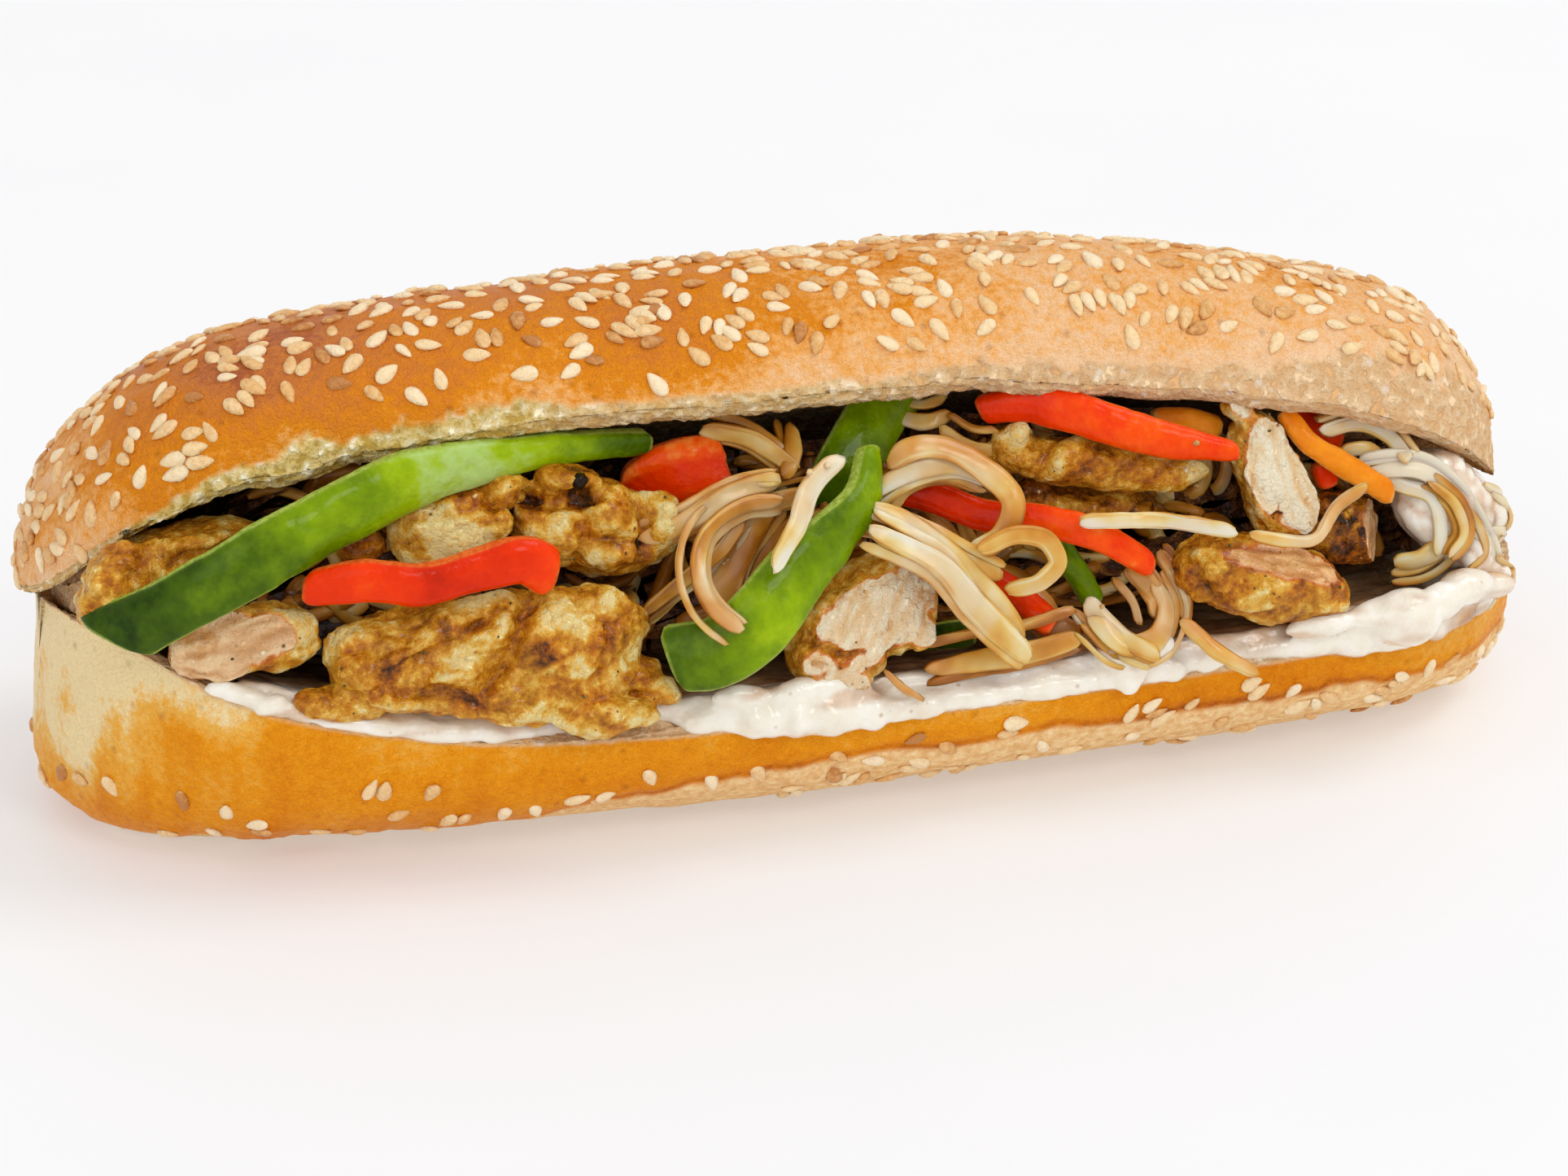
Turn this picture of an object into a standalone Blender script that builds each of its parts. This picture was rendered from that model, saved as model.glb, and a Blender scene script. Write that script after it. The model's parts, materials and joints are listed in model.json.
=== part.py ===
"""Submarine sandwich: a long roll, split along its front and propped open by its filling.

The filling is seared chicken, green and red pepper, fried onion and white sauce. Sizes are in
millimetres and become metres as each mesh is made. The roll lies along X with its mouth facing -Y.
The filling is laid out in the mouth's own frame: x along the roll, v up the opening from the lower
lip, and n out of the opening, which leans back by MOUTH_LEAN.
"""
import math

import bmesh
import bpy
import numpy as np
from mathutils import Vector, noise
from mathutils.bvhtree import BVHTree

MM = 0.001
GAP = 0.4                 # air between pieces that touch

# Roll
HALF_LENGTH = 98.5
REACH_LOW = (96.0, 97.0)  # how far the lower half reaches to the left and to the right
REACH_TOP = (98.5, 94.5)
FOOT_SPREAD = (3.4, 0.0)  # how much further the lower half reaches at its foot
HALF_WIDTH = 33.0
BOW = 5.6                 # how far both ends bend back from the middle
HINGE_Y = 33.0            # the back edge, where the two halves meet
HINGE_Z = 20.0
HINGE_GAP = 0.5
DOME = ((-100, 18.0), (-60, 21.7), (0, 24.0), (60, 22.7), (100, 20.5))      # thickness of the upper half
DISH = 3.0                # hollow pressed into both cut faces
LIP_CHAMFER = 2.6         # torn crumb edge of both lips
FLAT_SINK = 1.2           # how much of the round underside is pressed flat
CORNER_RISE = 9.0         # how far the underside lifts at the very ends
PLAN_ROUND = 30.0         # length over which the ends round off, seen from above
LOW_ROUND = 16.0
DOME_ROUND = (26.0, 18.0) # the same for the upper half's height, at the left and at the right
LIP_HEIGHT = ((-100, 37), (-80, 26.5), (-55, 19.8), (-20, 17.4), (20, 16.8), (60, 17.3), (100, 17.1))
OPENING_DEG = ((-100, 13.5), (-91, 21.5), (-80, 27), (-50, 30.5), (-15, 30.5), (25, 30), (60, 24.5), (82, 17),
               (100, 7))
ROLL_RINGS = 22
ROLL_SEGMENTS = 22
CRUST_SEGMENTS = 15       # of ROLL_SEGMENTS, the rest lie on the cut face

# Mouth frame
MOUTH_LEAN = math.radians(13.6)
MOUTH_LOW_Y = -33.0
MOUTH_LOW_Z = 17.0

# Sauce spread on the lower cut face: (x, how high it stands above the lip)
SAUCE_STAND = ((-80, 0.8), (-66, 1.6), (-45, 1.0), (-30, 1.6), (-15, 3.0), (0, 2.8), (12, 2.2), (34, 2.4),
               (50, 1.8), (66, 3.2), (76, 3.0))
SAUCE_BACK = 12.0         # where the spread starts, in front of the hinge line
SAUCE_CLEAR = 0.7         # kept above the faceted cut face
SAUCE_FILM = 0.8          # thickness of the spread away from its front edge
SAUCE_LIP = 1.5           # how far its front edge stays behind the lip
SAUCE_RINGS = 22
SAUCE_SEGMENTS = 12

PRESSED_INTO_SAUCE = ("chicken_lower", "chicken_middle", "chicken_right")

# Heap of fried onion behind the larger pieces: (x, how far its front stands out of the mouth)
HEAP_FRONT = ((-92, -9), (-30, -8), (-15, -5), (25, -5.5), (60, -8), (74, -6), (90, -5))
HEAP_ABOVE_DEG = 4.5      # kept above the lower half, room for the sauce
HEAP_BELOW_DEG = 2.0      # kept below the upper half
HEAP_RINGS = 26
HEAP_RAYS = 9
HEAP_ROOT = 11.0          # its back edge, in front of the hinge line
HEAP_CLEAR = 1.8          # kept between the heap and what lies on it
HEAP_INSIDE = 3.0         # how far it stays behind the lips where the roll rounds off


# ---- Shared forms -----------------------------------------------------------------------------------

def spline(knots, values, at):
    """Smooth curve through values at knots, read at one place."""
    knots = np.asarray(knots, float)
    values = np.asarray(values, float)
    i = int(np.clip(np.searchsorted(knots, at) - 1, 0, len(knots) - 2))
    slopes = np.gradient(values, knots, axis=0)
    span = knots[i + 1] - knots[i]
    t = min(max((at - knots[i]) / span, 0.0), 1.0)
    return ((1 + 2 * t) * (1 - t) ** 2 * values[i] + t * (1 - t) ** 2 * span * slopes[i]
            + t * t * (3 - 2 * t) * values[i + 1] + t * t * (t - 1) * span * slopes[i + 1])


def read(table, x):
    """Value at x of a short table of (x, value)."""
    knots, values = zip(*table)
    return float(spline(knots, values, x))


def spread(row, t):
    """Value at t, from 0 to 1, of a row of values spread evenly."""
    return float(np.interp(t, np.linspace(0, 1, len(row)), row))


def rounding(x, reach, power=2.2):
    """1 along the roll, falling to 0 at its ends over the last reach millimetres."""
    inside = min(max((HALF_LENGTH - abs(x)) / reach, 0.0), 1.0)
    return (1 - (1 - inside) ** power) ** (1 / power)


def signed_power(value, power):
    return math.copysign(abs(value) ** power, value)


def unit(vector):
    return vector / np.linalg.norm(vector)


def add(name, mesh, material):
    """Turn a bmesh into a named, smooth object in the sandwich's collection."""
    if mesh.calc_volume(signed=True) < 0:
        bmesh.ops.reverse_faces(mesh, faces=mesh.faces)
    data = bpy.data.meshes.new(name)
    mesh.to_mesh(data)
    mesh.free()
    data.shade_smooth()
    data.materials.append(material)
    piece = bpy.data.objects.new(name, data)
    collection.objects.link(piece)
    return piece


def loft(name, sections, material, tip=0.0):
    """Closed body through like-counted sections: a UV sphere whose rings become the sections."""
    count = len(sections[0])
    mesh = bmesh.new()
    bmesh.ops.create_uvsphere(mesh, u_segments=count, v_segments=len(sections) + 1, radius=1.0)
    first = np.mean(sections[0], axis=0)
    last = np.mean(sections[-1], axis=0)
    for vertex in mesh.verts:
        x, y, z = vertex.co
        ring = round(math.acos(max(-1.0, min(1.0, z))) / math.pi * (len(sections) + 1))
        if ring == 0:
            place = first - unit(np.mean(sections[1], axis=0) - first) * tip
        elif ring == len(sections) + 1:
            place = last - unit(np.mean(sections[-2], axis=0) - last) * tip
        else:
            place = sections[ring - 1][round(math.atan2(y, x) / math.tau * count) % count]
        vertex.co = Vector(place) * MM
    return add(name, mesh, material)


def cut_clear(piece, neighbour):
    """Cut a grown copy of a neighbour out of a piece, so that the two lie a gap apart."""
    data = neighbour.data.copy()
    for vertex in data.vertices:
        vertex.co += vertex.normal * GAP * MM
    cutter = bpy.data.objects.new(f"cut_{neighbour.name}_from_{piece.name}", data)
    cutter.hide_render = True
    cutter.display_type = "WIRE"
    cutters.objects.link(cutter)
    cut = piece.modifiers.new(cutter.name, "BOOLEAN")
    cut.operation = "DIFFERENCE"
    cut.object = cutter


def finish(name, colour, roughness):
    """Principled material for food: nothing here is metal."""
    material = bpy.data.materials.new(name)
    material.use_nodes = True
    shader = material.node_tree.nodes["Principled BSDF"]
    shader.inputs["Base Color"].default_value = (*colour, 1.0)
    shader.inputs["Roughness"].default_value = roughness
    shader.inputs["Metallic"].default_value = 0.0
    return material


# ---- Roll -------------------------------------------------------------------------------------------

def hinge_line(x):
    """Y of the back edge, which bends back towards both ends."""
    return HINGE_Y + BOW * (x / HALF_LENGTH) ** 2


def reach(x, ends):
    """Place along the roll, drawn in so that this half ends at its own left and right reach."""
    return x * ends[x > 0] / HALF_LENGTH


def low_place(x, p, z):
    """Point of the lower half, whose foot spreads at its ends."""
    spread = 1 - z / read(LIP_HEIGHT, x)
    ends = [far + foot * spread for far, foot in zip(REACH_LOW, FOOT_SPREAD)]
    return reach(x, ends), hinge_line(x) - p, z


def dome(x):
    """Thickness of the upper half, rounded off at its ends."""
    return read(DOME, x) * rounding(x, DOME_ROUND[x > 0], 2.6)


def cut_height(x, p):
    """Height of the lower half's cut plane, p in front of the hinge line."""
    return HINGE_Z + (read(LIP_HEIGHT, x) - HINGE_Z) * p / (2 * HALF_WIDTH)


def dish(x, p):
    """Depth of the hollow in a cut face, p in front of the hinge line."""
    across = (p - HALF_WIDTH) / (HALF_WIDTH * rounding(x, PLAN_ROUND))
    return DISH * rounding(x, PLAN_ROUND) * math.cos(min(max(across, -1.0), 1.0) * math.pi / 2)


def crust_and_cut(x, flatness):
    """(p, share) round a half: share runs 0 to 1 to 0 over the crust, and is None on the cut face."""
    width = HALF_WIDTH * rounding(x, PLAN_ROUND)
    for i in range(CRUST_SEGMENTS):
        angle = math.pi * i / (CRUST_SEGMENTS - 1)
        yield HALF_WIDTH - width * signed_power(math.cos(angle), flatness), math.sin(angle)
    chamfer = min(LIP_CHAMFER, width / 4)
    cut_segments = ROLL_SEGMENTS - CRUST_SEGMENTS
    for i in range(cut_segments):
        yield HALF_WIDTH + (width - chamfer) * (1 - 2 * i / (cut_segments - 1)), None


def lower_section(x):
    """Section of the lower half: round crust pressed flat underneath, and a dished cut face."""
    floor = CORNER_RISE * (1 - rounding(x, LOW_ROUND))
    points = []
    for p, share in crust_and_cut(x, 2 / 2.4):
        top = cut_height(x, p)
        if share is None:
            z = top - dish(x, p)
        else:
            rim = top - LIP_CHAMFER * 0.5 * rounding(x, PLAN_ROUND)
            z = max(rim - (rim - floor + FLAT_SINK) * abs(share) ** (2 / 2.6), floor)
        points.append(low_place(x, p, z))
    return points


def upper_section(x):
    """Section of the upper half: a dome tilted open about the hinge line."""
    tilt = math.radians(read(OPENING_DEG, x))
    points = []
    for p, share in crust_and_cut(x, 2 / 2.3):
        if share is None:
            q = dish(x, p)
        else:
            rim = LIP_CHAMFER * 0.6 * rounding(x, PLAN_ROUND) * p / (2 * HALF_WIDTH)
            q = rim + (dome(x) - rim) * abs(share) ** (2 / 2.3)
        y = hinge_line(x) - p * math.cos(tilt) + q * math.sin(tilt)
        points.append((reach(x, REACH_TOP), y, HINGE_Z + HINGE_GAP + p * math.sin(tilt) + q * math.cos(tilt)))
    return points


def make_roll():
    stations = [-HALF_LENGTH * math.cos(math.pi * (i + 0.3) / (ROLL_RINGS - 0.4)) for i in range(ROLL_RINGS)]
    loft("roll_bottom", [lower_section(x) for x in stations], lower_crust)
    loft("roll_top", [upper_section(x) for x in stations], upper_crust)


# ---- Filling pieces, laid out in the mouth -----------------------------------------------------------

def mouth(x, v, n):
    """Place in the roll's frame of a point given in the mouth's frame."""
    y = MOUTH_LOW_Y + v * math.sin(MOUTH_LEAN) - n * math.cos(MOUTH_LEAN)
    return np.array((x, y, MOUTH_LOW_Z + v * math.cos(MOUTH_LEAN) + n * math.sin(MOUTH_LEAN)))


OUTWARD = mouth(0, 0, 1) - mouth(0, 0, 0)


def chunk(name, at, half, material, spin=0, lumps=0.12, square=2.8, swell=0.0, seed=0, detail=3):
    """Lumpy rounded block: an icosphere squared off, swelled by noise, spun in the mouth and set down.

    half gives its half length, half height and half depth, spin turns it anticlockwise in degrees, and
    swell makes one end thicker than the other.
    """
    mesh = bmesh.new()
    bmesh.ops.create_icosphere(mesh, subdivisions=detail, radius=1.0)
    turn = math.radians(spin)
    for vertex in mesh.verts:
        d = vertex.co.copy()
        reach = sum(abs(c) ** square for c in d) ** (-1 / square)
        reach *= 1 + lumps * noise.noise(d * 1.6 + Vector((seed * 7.3, seed * 1.9, seed * 3.7)))
        thickness = reach * (1 + swell * d.x)
        a = d.x * reach * half[0]
        b = d.y * thickness * half[1]
        x = at[0] + a * math.cos(turn) - b * math.sin(turn)
        v = at[1] + a * math.sin(turn) + b * math.cos(turn)
        vertex.co = Vector(mouth(x, v, at[2] + d.z * thickness * half[2])) * MM
    return add(name, mesh, material)


def strip(name, route, width, thick, material, lean=(0, 0), step=4.5, sides=8):
    """Flat strip along a smooth route of (x, v, n) points, its face turned outward and leaned by degrees.

    width and lean are rows of values spread evenly along the route.
    """
    points = np.array([mouth(*point) for point in route])
    lengths = np.concatenate(([0], np.cumsum(np.linalg.norm(np.diff(points, axis=0), axis=1))))
    count = max(round(lengths[-1] / step) + 1, 4)
    sections = []
    for i in range(count):
        t = i / (count - 1)
        here = spline(lengths, points, t * lengths[-1])
        along = unit(spline(lengths, points, min(t + 0.02, 1) * lengths[-1])
                     - spline(lengths, points, max(t - 0.02, 0) * lengths[-1]))
        face = unit(OUTWARD - along * float(OUTWARD @ along))
        across = np.cross(along, face)
        angle = math.radians(spread(lean, t))
        flat = across * math.cos(angle) - face * math.sin(angle)
        up = face * math.cos(angle) + across * math.sin(angle)
        taper = 0.8 if i in (0, count - 1) else 1.0
        ring = []
        for k in range(sides):
            around = math.tau * (k + 0.5) / sides
            a = signed_power(math.cos(around), 0.6) * spread(width, t) / 2
            b = signed_power(math.sin(around), 0.6) * thick / 2
            ring.append(here + (flat * a + up * b) * taper)
        sections.append(ring)
    return loft(name, sections, material, tip=thick * 0.15)


def make_chicken():
    def seared(name, at, half, spin, lumps, swell=0.0, detail=3):
        seed = len(collection.objects)
        return chunk("chicken_" + name, at, half, cooked_chicken, spin, lumps, 2.7, swell, seed, detail)

    seared("left_top", (-82.8, 26.0, -12.5), (11, 3.5, 4.5), 7, 0.12)
    seared("left_cut", (-76.6, 16.1, -5.1), (9.2, 4.1, 4.0), 4, 0.1)
    seared("lower", (-47.5, 11.6, -2.5), (20, 7.2, 6.5), -3, 0.2, 0.22)
    seared("pale", (-50.9, 26.6, -5.6), (6.9, 4.5, 4.2), -2, 0.12)
    seared("upper", (-32.8, 25.2, -7), (10.2, 5.7, 5.2), -14, 0.2)
    seared("small", (-61, 26, -8.5), (3, 2.6, 3), 0, 0.1, detail=2)
    seared("middle", (-1.5, 10.6, -2.5), (10.2, 6.2, 6), 28, 0.12)
    seared("long", (31.5, 25.8, -7), (14, 3, 3.5), -12, 0.1)
    seared("behind", (32, 20, -12), (10, 2.6, 3.5), -6, 0.1)
    seared("upright", (54.5, 22.8, -5.5), (8.4, 4.2, 4.5), 108, 0.12, -0.25)
    seared("brown", (65.4, 14, -9.5), (6.0, 4.8, 4.5), -12, 0.1)
    seared("right", (51, 9.8, -2.5), (11.6, 5.0, 6), -16, 0.1)


def make_peppers():
    strip("green_long", ((-92, 18.2, -7), (-86, 21.2, -2), (-77, 25.8, 1.5), (-67, 30, 1), (-56, 33.5, -1.5),
                         (-45.5, 34.7, -4), (-35, 34.9, -6), (-25, 34.4, -8.5)),
          (8, 7.4, 7.8, 7.6, 7.2, 5.2, 3.8, 3), 2.8, green_pepper, lean=(-10, 0, 5, 10, 20))
    strip("green_front", ((1, 31.5, -2), (-1, 26, 1), (-6, 22, 4), (-12, 18, 6), (-16.5, 13.5, 7),
                          (-22, 10, 6), (-27.5, 9.5, 4)),
          (3, 5.4, 7.0, 8.0, 8.6, 8.8, 8.2), 2.6, green_pepper, lean=(-35, -20, 0, 10, 0))
    strip("green_back", ((5.5, 33.5, -11), (1.5, 32, -9), (-1.5, 29, -8.5)), (7.5, 8, 6), 2.4, green_pepper)
    strip("green_dark", ((6.6, 7, -4.5), (10, 7, -4), (13.5, 7, -4)), (3.5, 3.5), 2.2, green_pepper)
    strip("green_small", ((26, 16.5, -7), (28, 13, -6), (30.5, 8.5, -6)), (3.2, 3.2), 2.2, green_pepper)
    strip("red_band", ((-70, 22.5, 1), (-64, 23, 4), (-56.5, 22, 5), (-49.5, 23, 5), (-44.5, 23.5, 5),
                       (-41, 21.5, 4)),
          (4, 5.3, 5.2, 5, 5.6, 6.2), 2.8, red_pepper, lean=(0, 15, 15, 0))
    strip("red_folded", ((-27, 29.5, -13.5), (-24, 30, -11), (-20, 30, -9.5), (-15.5, 30, -11)),
          (3.5, 6.5, 7.5, 5.5), 2.4, red_pepper)
    strip("red_centre", ((2.5, 26, -8), (9, 24.5, -6), (15.5, 21.5, -4), (22, 20.5, -1), (28, 18.5, 1),
                         (35.5, 13.5, 1)),
          (3, 4, 4, 4, 3.8, 3), 2.4, red_pepper)
    strip("red_low", ((13.5, 15, -5), (18.5, 12, -4), (23, 7, -1)), (3, 3.5, 3.5), 2.2, red_pepper)
    strip("red_long", ((17.5, 34, -8), (23.5, 34.5, -5), (31, 31.8, -2), (39, 28.8, -1), (48, 26.5, 0.5)),
          (3.5, 5.3, 5.2, 4.6, 2.4), 2.4, red_pepper)
    strip("red_right", ((58.5, 28.8, -10), (62.5, 27.3, -9.5), (66, 25.6, -9.5)), (4, 4), 2.2, red_pepper)
    strip("red_small", ((62, 23, -7), (63.2, 19.8, -7)), (3, 3), 2.0, red_pepper)
    strip("orange_top", ((40.5, 30.3, -9), (45.5, 29.8, -9), (49.5, 28.4, -9.2)), (3, 3), 2.0, orange_pepper)
    strip("orange_right", ((57, 30, -6), (59.5, 26, -4), (63.5, 23, -3.5), (70, 18.3, -3.5)),
          (2.4, 3.2, 3), 1.8, orange_pepper)


def make_onion():
    def shoot(name, width, *route):
        return strip("onion_" + name, route, width, 1.5, fried_onion, step=5.0, sides=6)

    shoot("high", (2.2, 2.6, 1.8), (-18, 35, -9), (-12.5, 33.5, -7), (-7.5, 29.5, -5))
    shoot("pale", (3.4, 3.4, 2.4), (-3, 31, -1), (-7.5, 28.5, 2), (-11.5, 24, 7), (-15.5, 20, 9.8))
    shoot("low_left", (1.8, 2.2, 2.2), (-22.5, 25, -4), (-16.5, 28, -4), (-11, 29, -3))
    shoot("loop_left", (2.4, 2.4), (-11, 26.5, 0), (-15.5, 26.5, 0), (-21, 23.5, 1), (-23, 19.5, 4),
          (-22.5, 15.5, 8.5), (-20, 13, 10.5))
    shoot("loop_big", (2.4, 2.6), (3, 29.5, -1), (5, 31, 0), (10, 31, 0), (14.5, 28, 1), (17.5, 23.5, 3),
          (16, 20, 3), (11, 17.5, 2))
    shoot("loop_inner", (2, 2.4), (3.5, 23.5, -3), (6, 26, -3), (10.5, 27, -2), (14.5, 25.5, -1))
    shoot("loop_small", (2, 2), (12, 18.5, 5), (16.5, 20, 5.5), (21, 18.5, 5), (22, 16, 5), (20, 14, 5),
          (15.5, 13, 4))
    shoot("stalk", (2.4, 2.8, 3.6, 3.8, 2.6), (-1.5, 22.5, 4), (2, 20.5, 5), (6.5, 17.5, 6), (10.5, 12, 6.5),
          (14.5, 7.5, 6), (17.5, 4.5, 5))
    shoot("stick", (2.2, 2.2), (25.5, 20.5, 4), (36, 19.5, 4), (46, 17, 3.5))
    shoot("curl", (2, 2), (48, 16.3, 3), (52, 15.3, 3.5), (56.5, 14.8, 3), (61, 18.5, 1), (64.5, 20.5, 1.5))
    shoot("rim", (1.8, 2.4, 1.8), (38, 7, 4), (41, 3.5, 6), (46.5, -0.5, 7))
    shoot("petal", (2.8, 3, 2.4), (27, 10, 0), (30.5, 5.5, 2), (34.5, 3, 5))
    shoot("amber", (3, 3.2), (34.5, 13, -3), (36.5, 9.5, -1), (37, 6.5, 0))
    shoot("arch", (2, 2.2), (61.5, 27, -5), (67.5, 27.3, -6), (71, 25.5, -6), (72.5, 22.5, -3))


def make_end_bundle():
    """Onion that spills out at the right end, one uneven lump."""
    return chunk("onion_end_bundle", (79.8, 15.1, -8.2), (8.0, 6.1, 5.0), fried_onion, -50, 0.15, 2.4, 0.0, 4)


# ---- Sauce and heap ---------------------------------------------------------------------------------

def sauce_section(x):
    """Tongue of sauce: its underside follows the cut face, its front edge stands above the lip."""
    stand = read(SAUCE_STAND, x)
    front = HALF_WIDTH * (1 + rounding(x, PLAN_ROUND)) - SAUCE_LIP
    points = []
    for i in range(SAUCE_SEGMENTS):
        under = i < SAUCE_SEGMENTS // 2
        step = (i if under else SAUCE_SEGMENTS - 1 - i) / (SAUCE_SEGMENTS // 2 - 1)
        p = SAUCE_BACK + (front - SAUCE_BACK) * math.sqrt(step)
        base = cut_height(x, p) - dish(x, p) + SAUCE_CLEAR
        z = base if under else base + SAUCE_FILM + (stand - SAUCE_FILM) * step ** 4
        points.append(low_place(x, p, z))
    return points


def make_sauce():
    low, high = SAUCE_STAND[0][0], SAUCE_STAND[-1][0]
    sections = [sauce_section(x) for x in np.linspace(low, high, SAUCE_RINGS)]
    layer = loft("sauce_layer", sections, white_sauce)
    drip = chunk("sauce_drip", (33, 1.0, 0.5), (4.5, 4.2, 2.2), white_sauce, 0, 0.2, 2.2, detail=2)
    dollop = chunk("sauce_dollop", (70.5, 3.6, 0.2), (6.5, 3.9, 3.0), white_sauce, 4, 0.2, 2.2)
    end = chunk("sauce_end", (80.8, 4.7, -5.6), (4.6, 2.4, 3.0), white_sauce, 12, 0.2, 2.2, detail=2)
    return layer, drip, dollop, end


def tree_of(pieces):
    """One search tree of the surfaces of several pieces."""
    corners, faces = [], []
    for piece in pieces:
        start = len(corners)
        corners += [vertex.co for vertex in piece.data.vertices]
        faces += [[start + i for i in face.vertices] for face in piece.data.polygons]
    return BVHTree.FromPolygons(corners, faces)


def heap_section(x, tree):
    """Fan from the hinge side out to the pieces, or to the heap's own front where nothing lies on it."""
    width = HALF_WIDTH * rounding(x, PLAN_ROUND)
    slope = (cut_height(x, 2 * HALF_WIDTH) - HINGE_Z) / (2 * HALF_WIDTH)
    low = math.asin(slope) + math.radians(HEAP_ABOVE_DEG)
    high = math.radians(read(OPENING_DEG, x) - HEAP_BELOW_DEG)
    root = max(HEAP_ROOT, HALF_WIDTH - width + 4)
    front = np.array((x, hinge_line(x), HINGE_Z))
    points = [front + np.array((0, -root * math.cos(a), root * math.sin(a))) for a in (high, low)]
    for i in range(HEAP_RAYS):
        angle = low + (high - low) * i / (HEAP_RAYS - 1)
        away = np.array((0, -math.cos(angle), math.sin(angle)))
        edge = mouth(x, 0, read(HEAP_FRONT, x))
        reach = float((edge - front) @ OUTWARD) / float(away @ OUTWARD)
        reach = min(reach, HALF_WIDTH + width - HEAP_INSIDE)
        for aside in (-4.0, -2.0, 0.0, 2.0, 4.0):
            for lift in (-0.05, 0.0, 0.05):
                turned = np.array((0, -math.cos(angle + lift), math.sin(angle + lift)))
                start = front + turned * root + np.array((aside, 0, 0))
                hit = tree.ray_cast(Vector(start) * MM, Vector(turned), reach * MM)
                if hit[0] is not None:
                    reach = min(reach, root + hit[3] / MM - HEAP_CLEAR)
        points.append(front + away * max(reach, root + 2.0))
    return points


def make_heap(pieces):
    tree = tree_of(pieces)
    stations = np.linspace(HEAP_FRONT[0][0], HEAP_FRONT[-1][0], HEAP_RINGS)
    return loft("onion_heap", [heap_section(x, tree) for x in stations], fried_onion)


def centre_on_floor(pieces):
    """Hang every piece on one empty, moved so that the whole stands centred on the origin."""
    corners = np.array([vertex.co for piece in pieces for vertex in piece.data.vertices])
    low, high = corners.min(axis=0), corners.max(axis=0)
    stand = bpy.data.objects.new("sandwich", None)
    collection.objects.link(stand)
    stand.location = (-(low[0] + high[0]) / 2, -(low[1] + high[1]) / 2, -low[2])
    for piece in pieces + list(cutters.objects):
        piece.parent = stand


def main():
    make_roll()
    bread = list(collection.objects)
    make_chicken()
    make_peppers()
    make_onion()
    make_end_bundle()
    filling = [piece for piece in collection.objects if piece not in bread]
    layer, *spilled = make_sauce()
    make_heap(filling)
    for piece in filling:
        if piece.name in PRESSED_INTO_SAUCE:
            cut_clear(layer, piece)
    for sauce in spilled:
        cut_clear(sauce, bread[0])
    centre_on_floor(list(collection.objects))


for leftover in list(bpy.data.objects):
    bpy.data.objects.remove(leftover)
collection = bpy.data.collections.new("submarine_sandwich")
cutters = bpy.data.collections.new("cutters")
for group in (collection, cutters):
    bpy.context.scene.collection.children.link(group)

lower_crust = finish("golden crust", (0.72, 0.36, 0.09), 0.5)
upper_crust = finish("browned crust", (0.56, 0.25, 0.08), 0.45)
cooked_chicken = finish("seared chicken", (0.42, 0.24, 0.08), 0.45)
green_pepper = finish("green pepper", (0.10, 0.26, 0.01), 0.2)
red_pepper = finish("red pepper", (0.78, 0.04, 0.005), 0.25)
orange_pepper = finish("orange pepper", (0.85, 0.27, 0.01), 0.25)
fried_onion = finish("fried onion", (0.80, 0.53, 0.24), 0.35)
white_sauce = finish("white sauce", (0.86, 0.80, 0.74), 0.3)
main()
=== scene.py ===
"""Looks of a submarine sandwich: a seeded roll propped open by sauce, chicken, peppers and onion.

Sizes are in millimetres and become metres as each mesh is made. The roll lies along X with its mouth
facing -Y. The filling is laid out in the mouth's own frame: x along the roll, v up the opening from the
lower lip, and n out of the opening.
"""
import json
import math

import bmesh
import bpy
import numpy as np
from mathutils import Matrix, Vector, noise
from mathutils.bvhtree import BVHTree

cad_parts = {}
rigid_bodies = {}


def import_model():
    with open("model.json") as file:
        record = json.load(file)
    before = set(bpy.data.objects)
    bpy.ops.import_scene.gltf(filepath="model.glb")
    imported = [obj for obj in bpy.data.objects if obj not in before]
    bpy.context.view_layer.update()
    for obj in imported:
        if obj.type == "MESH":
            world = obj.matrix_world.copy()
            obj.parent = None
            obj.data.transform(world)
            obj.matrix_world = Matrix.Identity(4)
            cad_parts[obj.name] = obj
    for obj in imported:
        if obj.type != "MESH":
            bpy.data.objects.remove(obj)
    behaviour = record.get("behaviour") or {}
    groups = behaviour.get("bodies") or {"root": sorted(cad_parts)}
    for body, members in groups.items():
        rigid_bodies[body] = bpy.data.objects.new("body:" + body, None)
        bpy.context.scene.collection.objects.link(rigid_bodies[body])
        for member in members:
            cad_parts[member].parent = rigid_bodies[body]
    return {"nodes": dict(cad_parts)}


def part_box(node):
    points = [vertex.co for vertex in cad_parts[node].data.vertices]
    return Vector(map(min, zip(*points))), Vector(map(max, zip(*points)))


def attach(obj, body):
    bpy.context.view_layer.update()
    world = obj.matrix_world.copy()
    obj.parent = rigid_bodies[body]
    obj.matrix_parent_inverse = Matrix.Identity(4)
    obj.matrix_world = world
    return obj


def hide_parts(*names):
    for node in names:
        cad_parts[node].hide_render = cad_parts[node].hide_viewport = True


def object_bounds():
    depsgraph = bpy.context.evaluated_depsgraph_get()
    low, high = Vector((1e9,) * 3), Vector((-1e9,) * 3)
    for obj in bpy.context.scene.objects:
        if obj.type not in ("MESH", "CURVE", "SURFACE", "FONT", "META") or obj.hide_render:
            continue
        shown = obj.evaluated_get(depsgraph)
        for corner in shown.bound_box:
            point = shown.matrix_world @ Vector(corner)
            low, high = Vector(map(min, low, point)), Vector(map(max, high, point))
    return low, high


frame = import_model()
cad_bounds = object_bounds()

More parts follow.
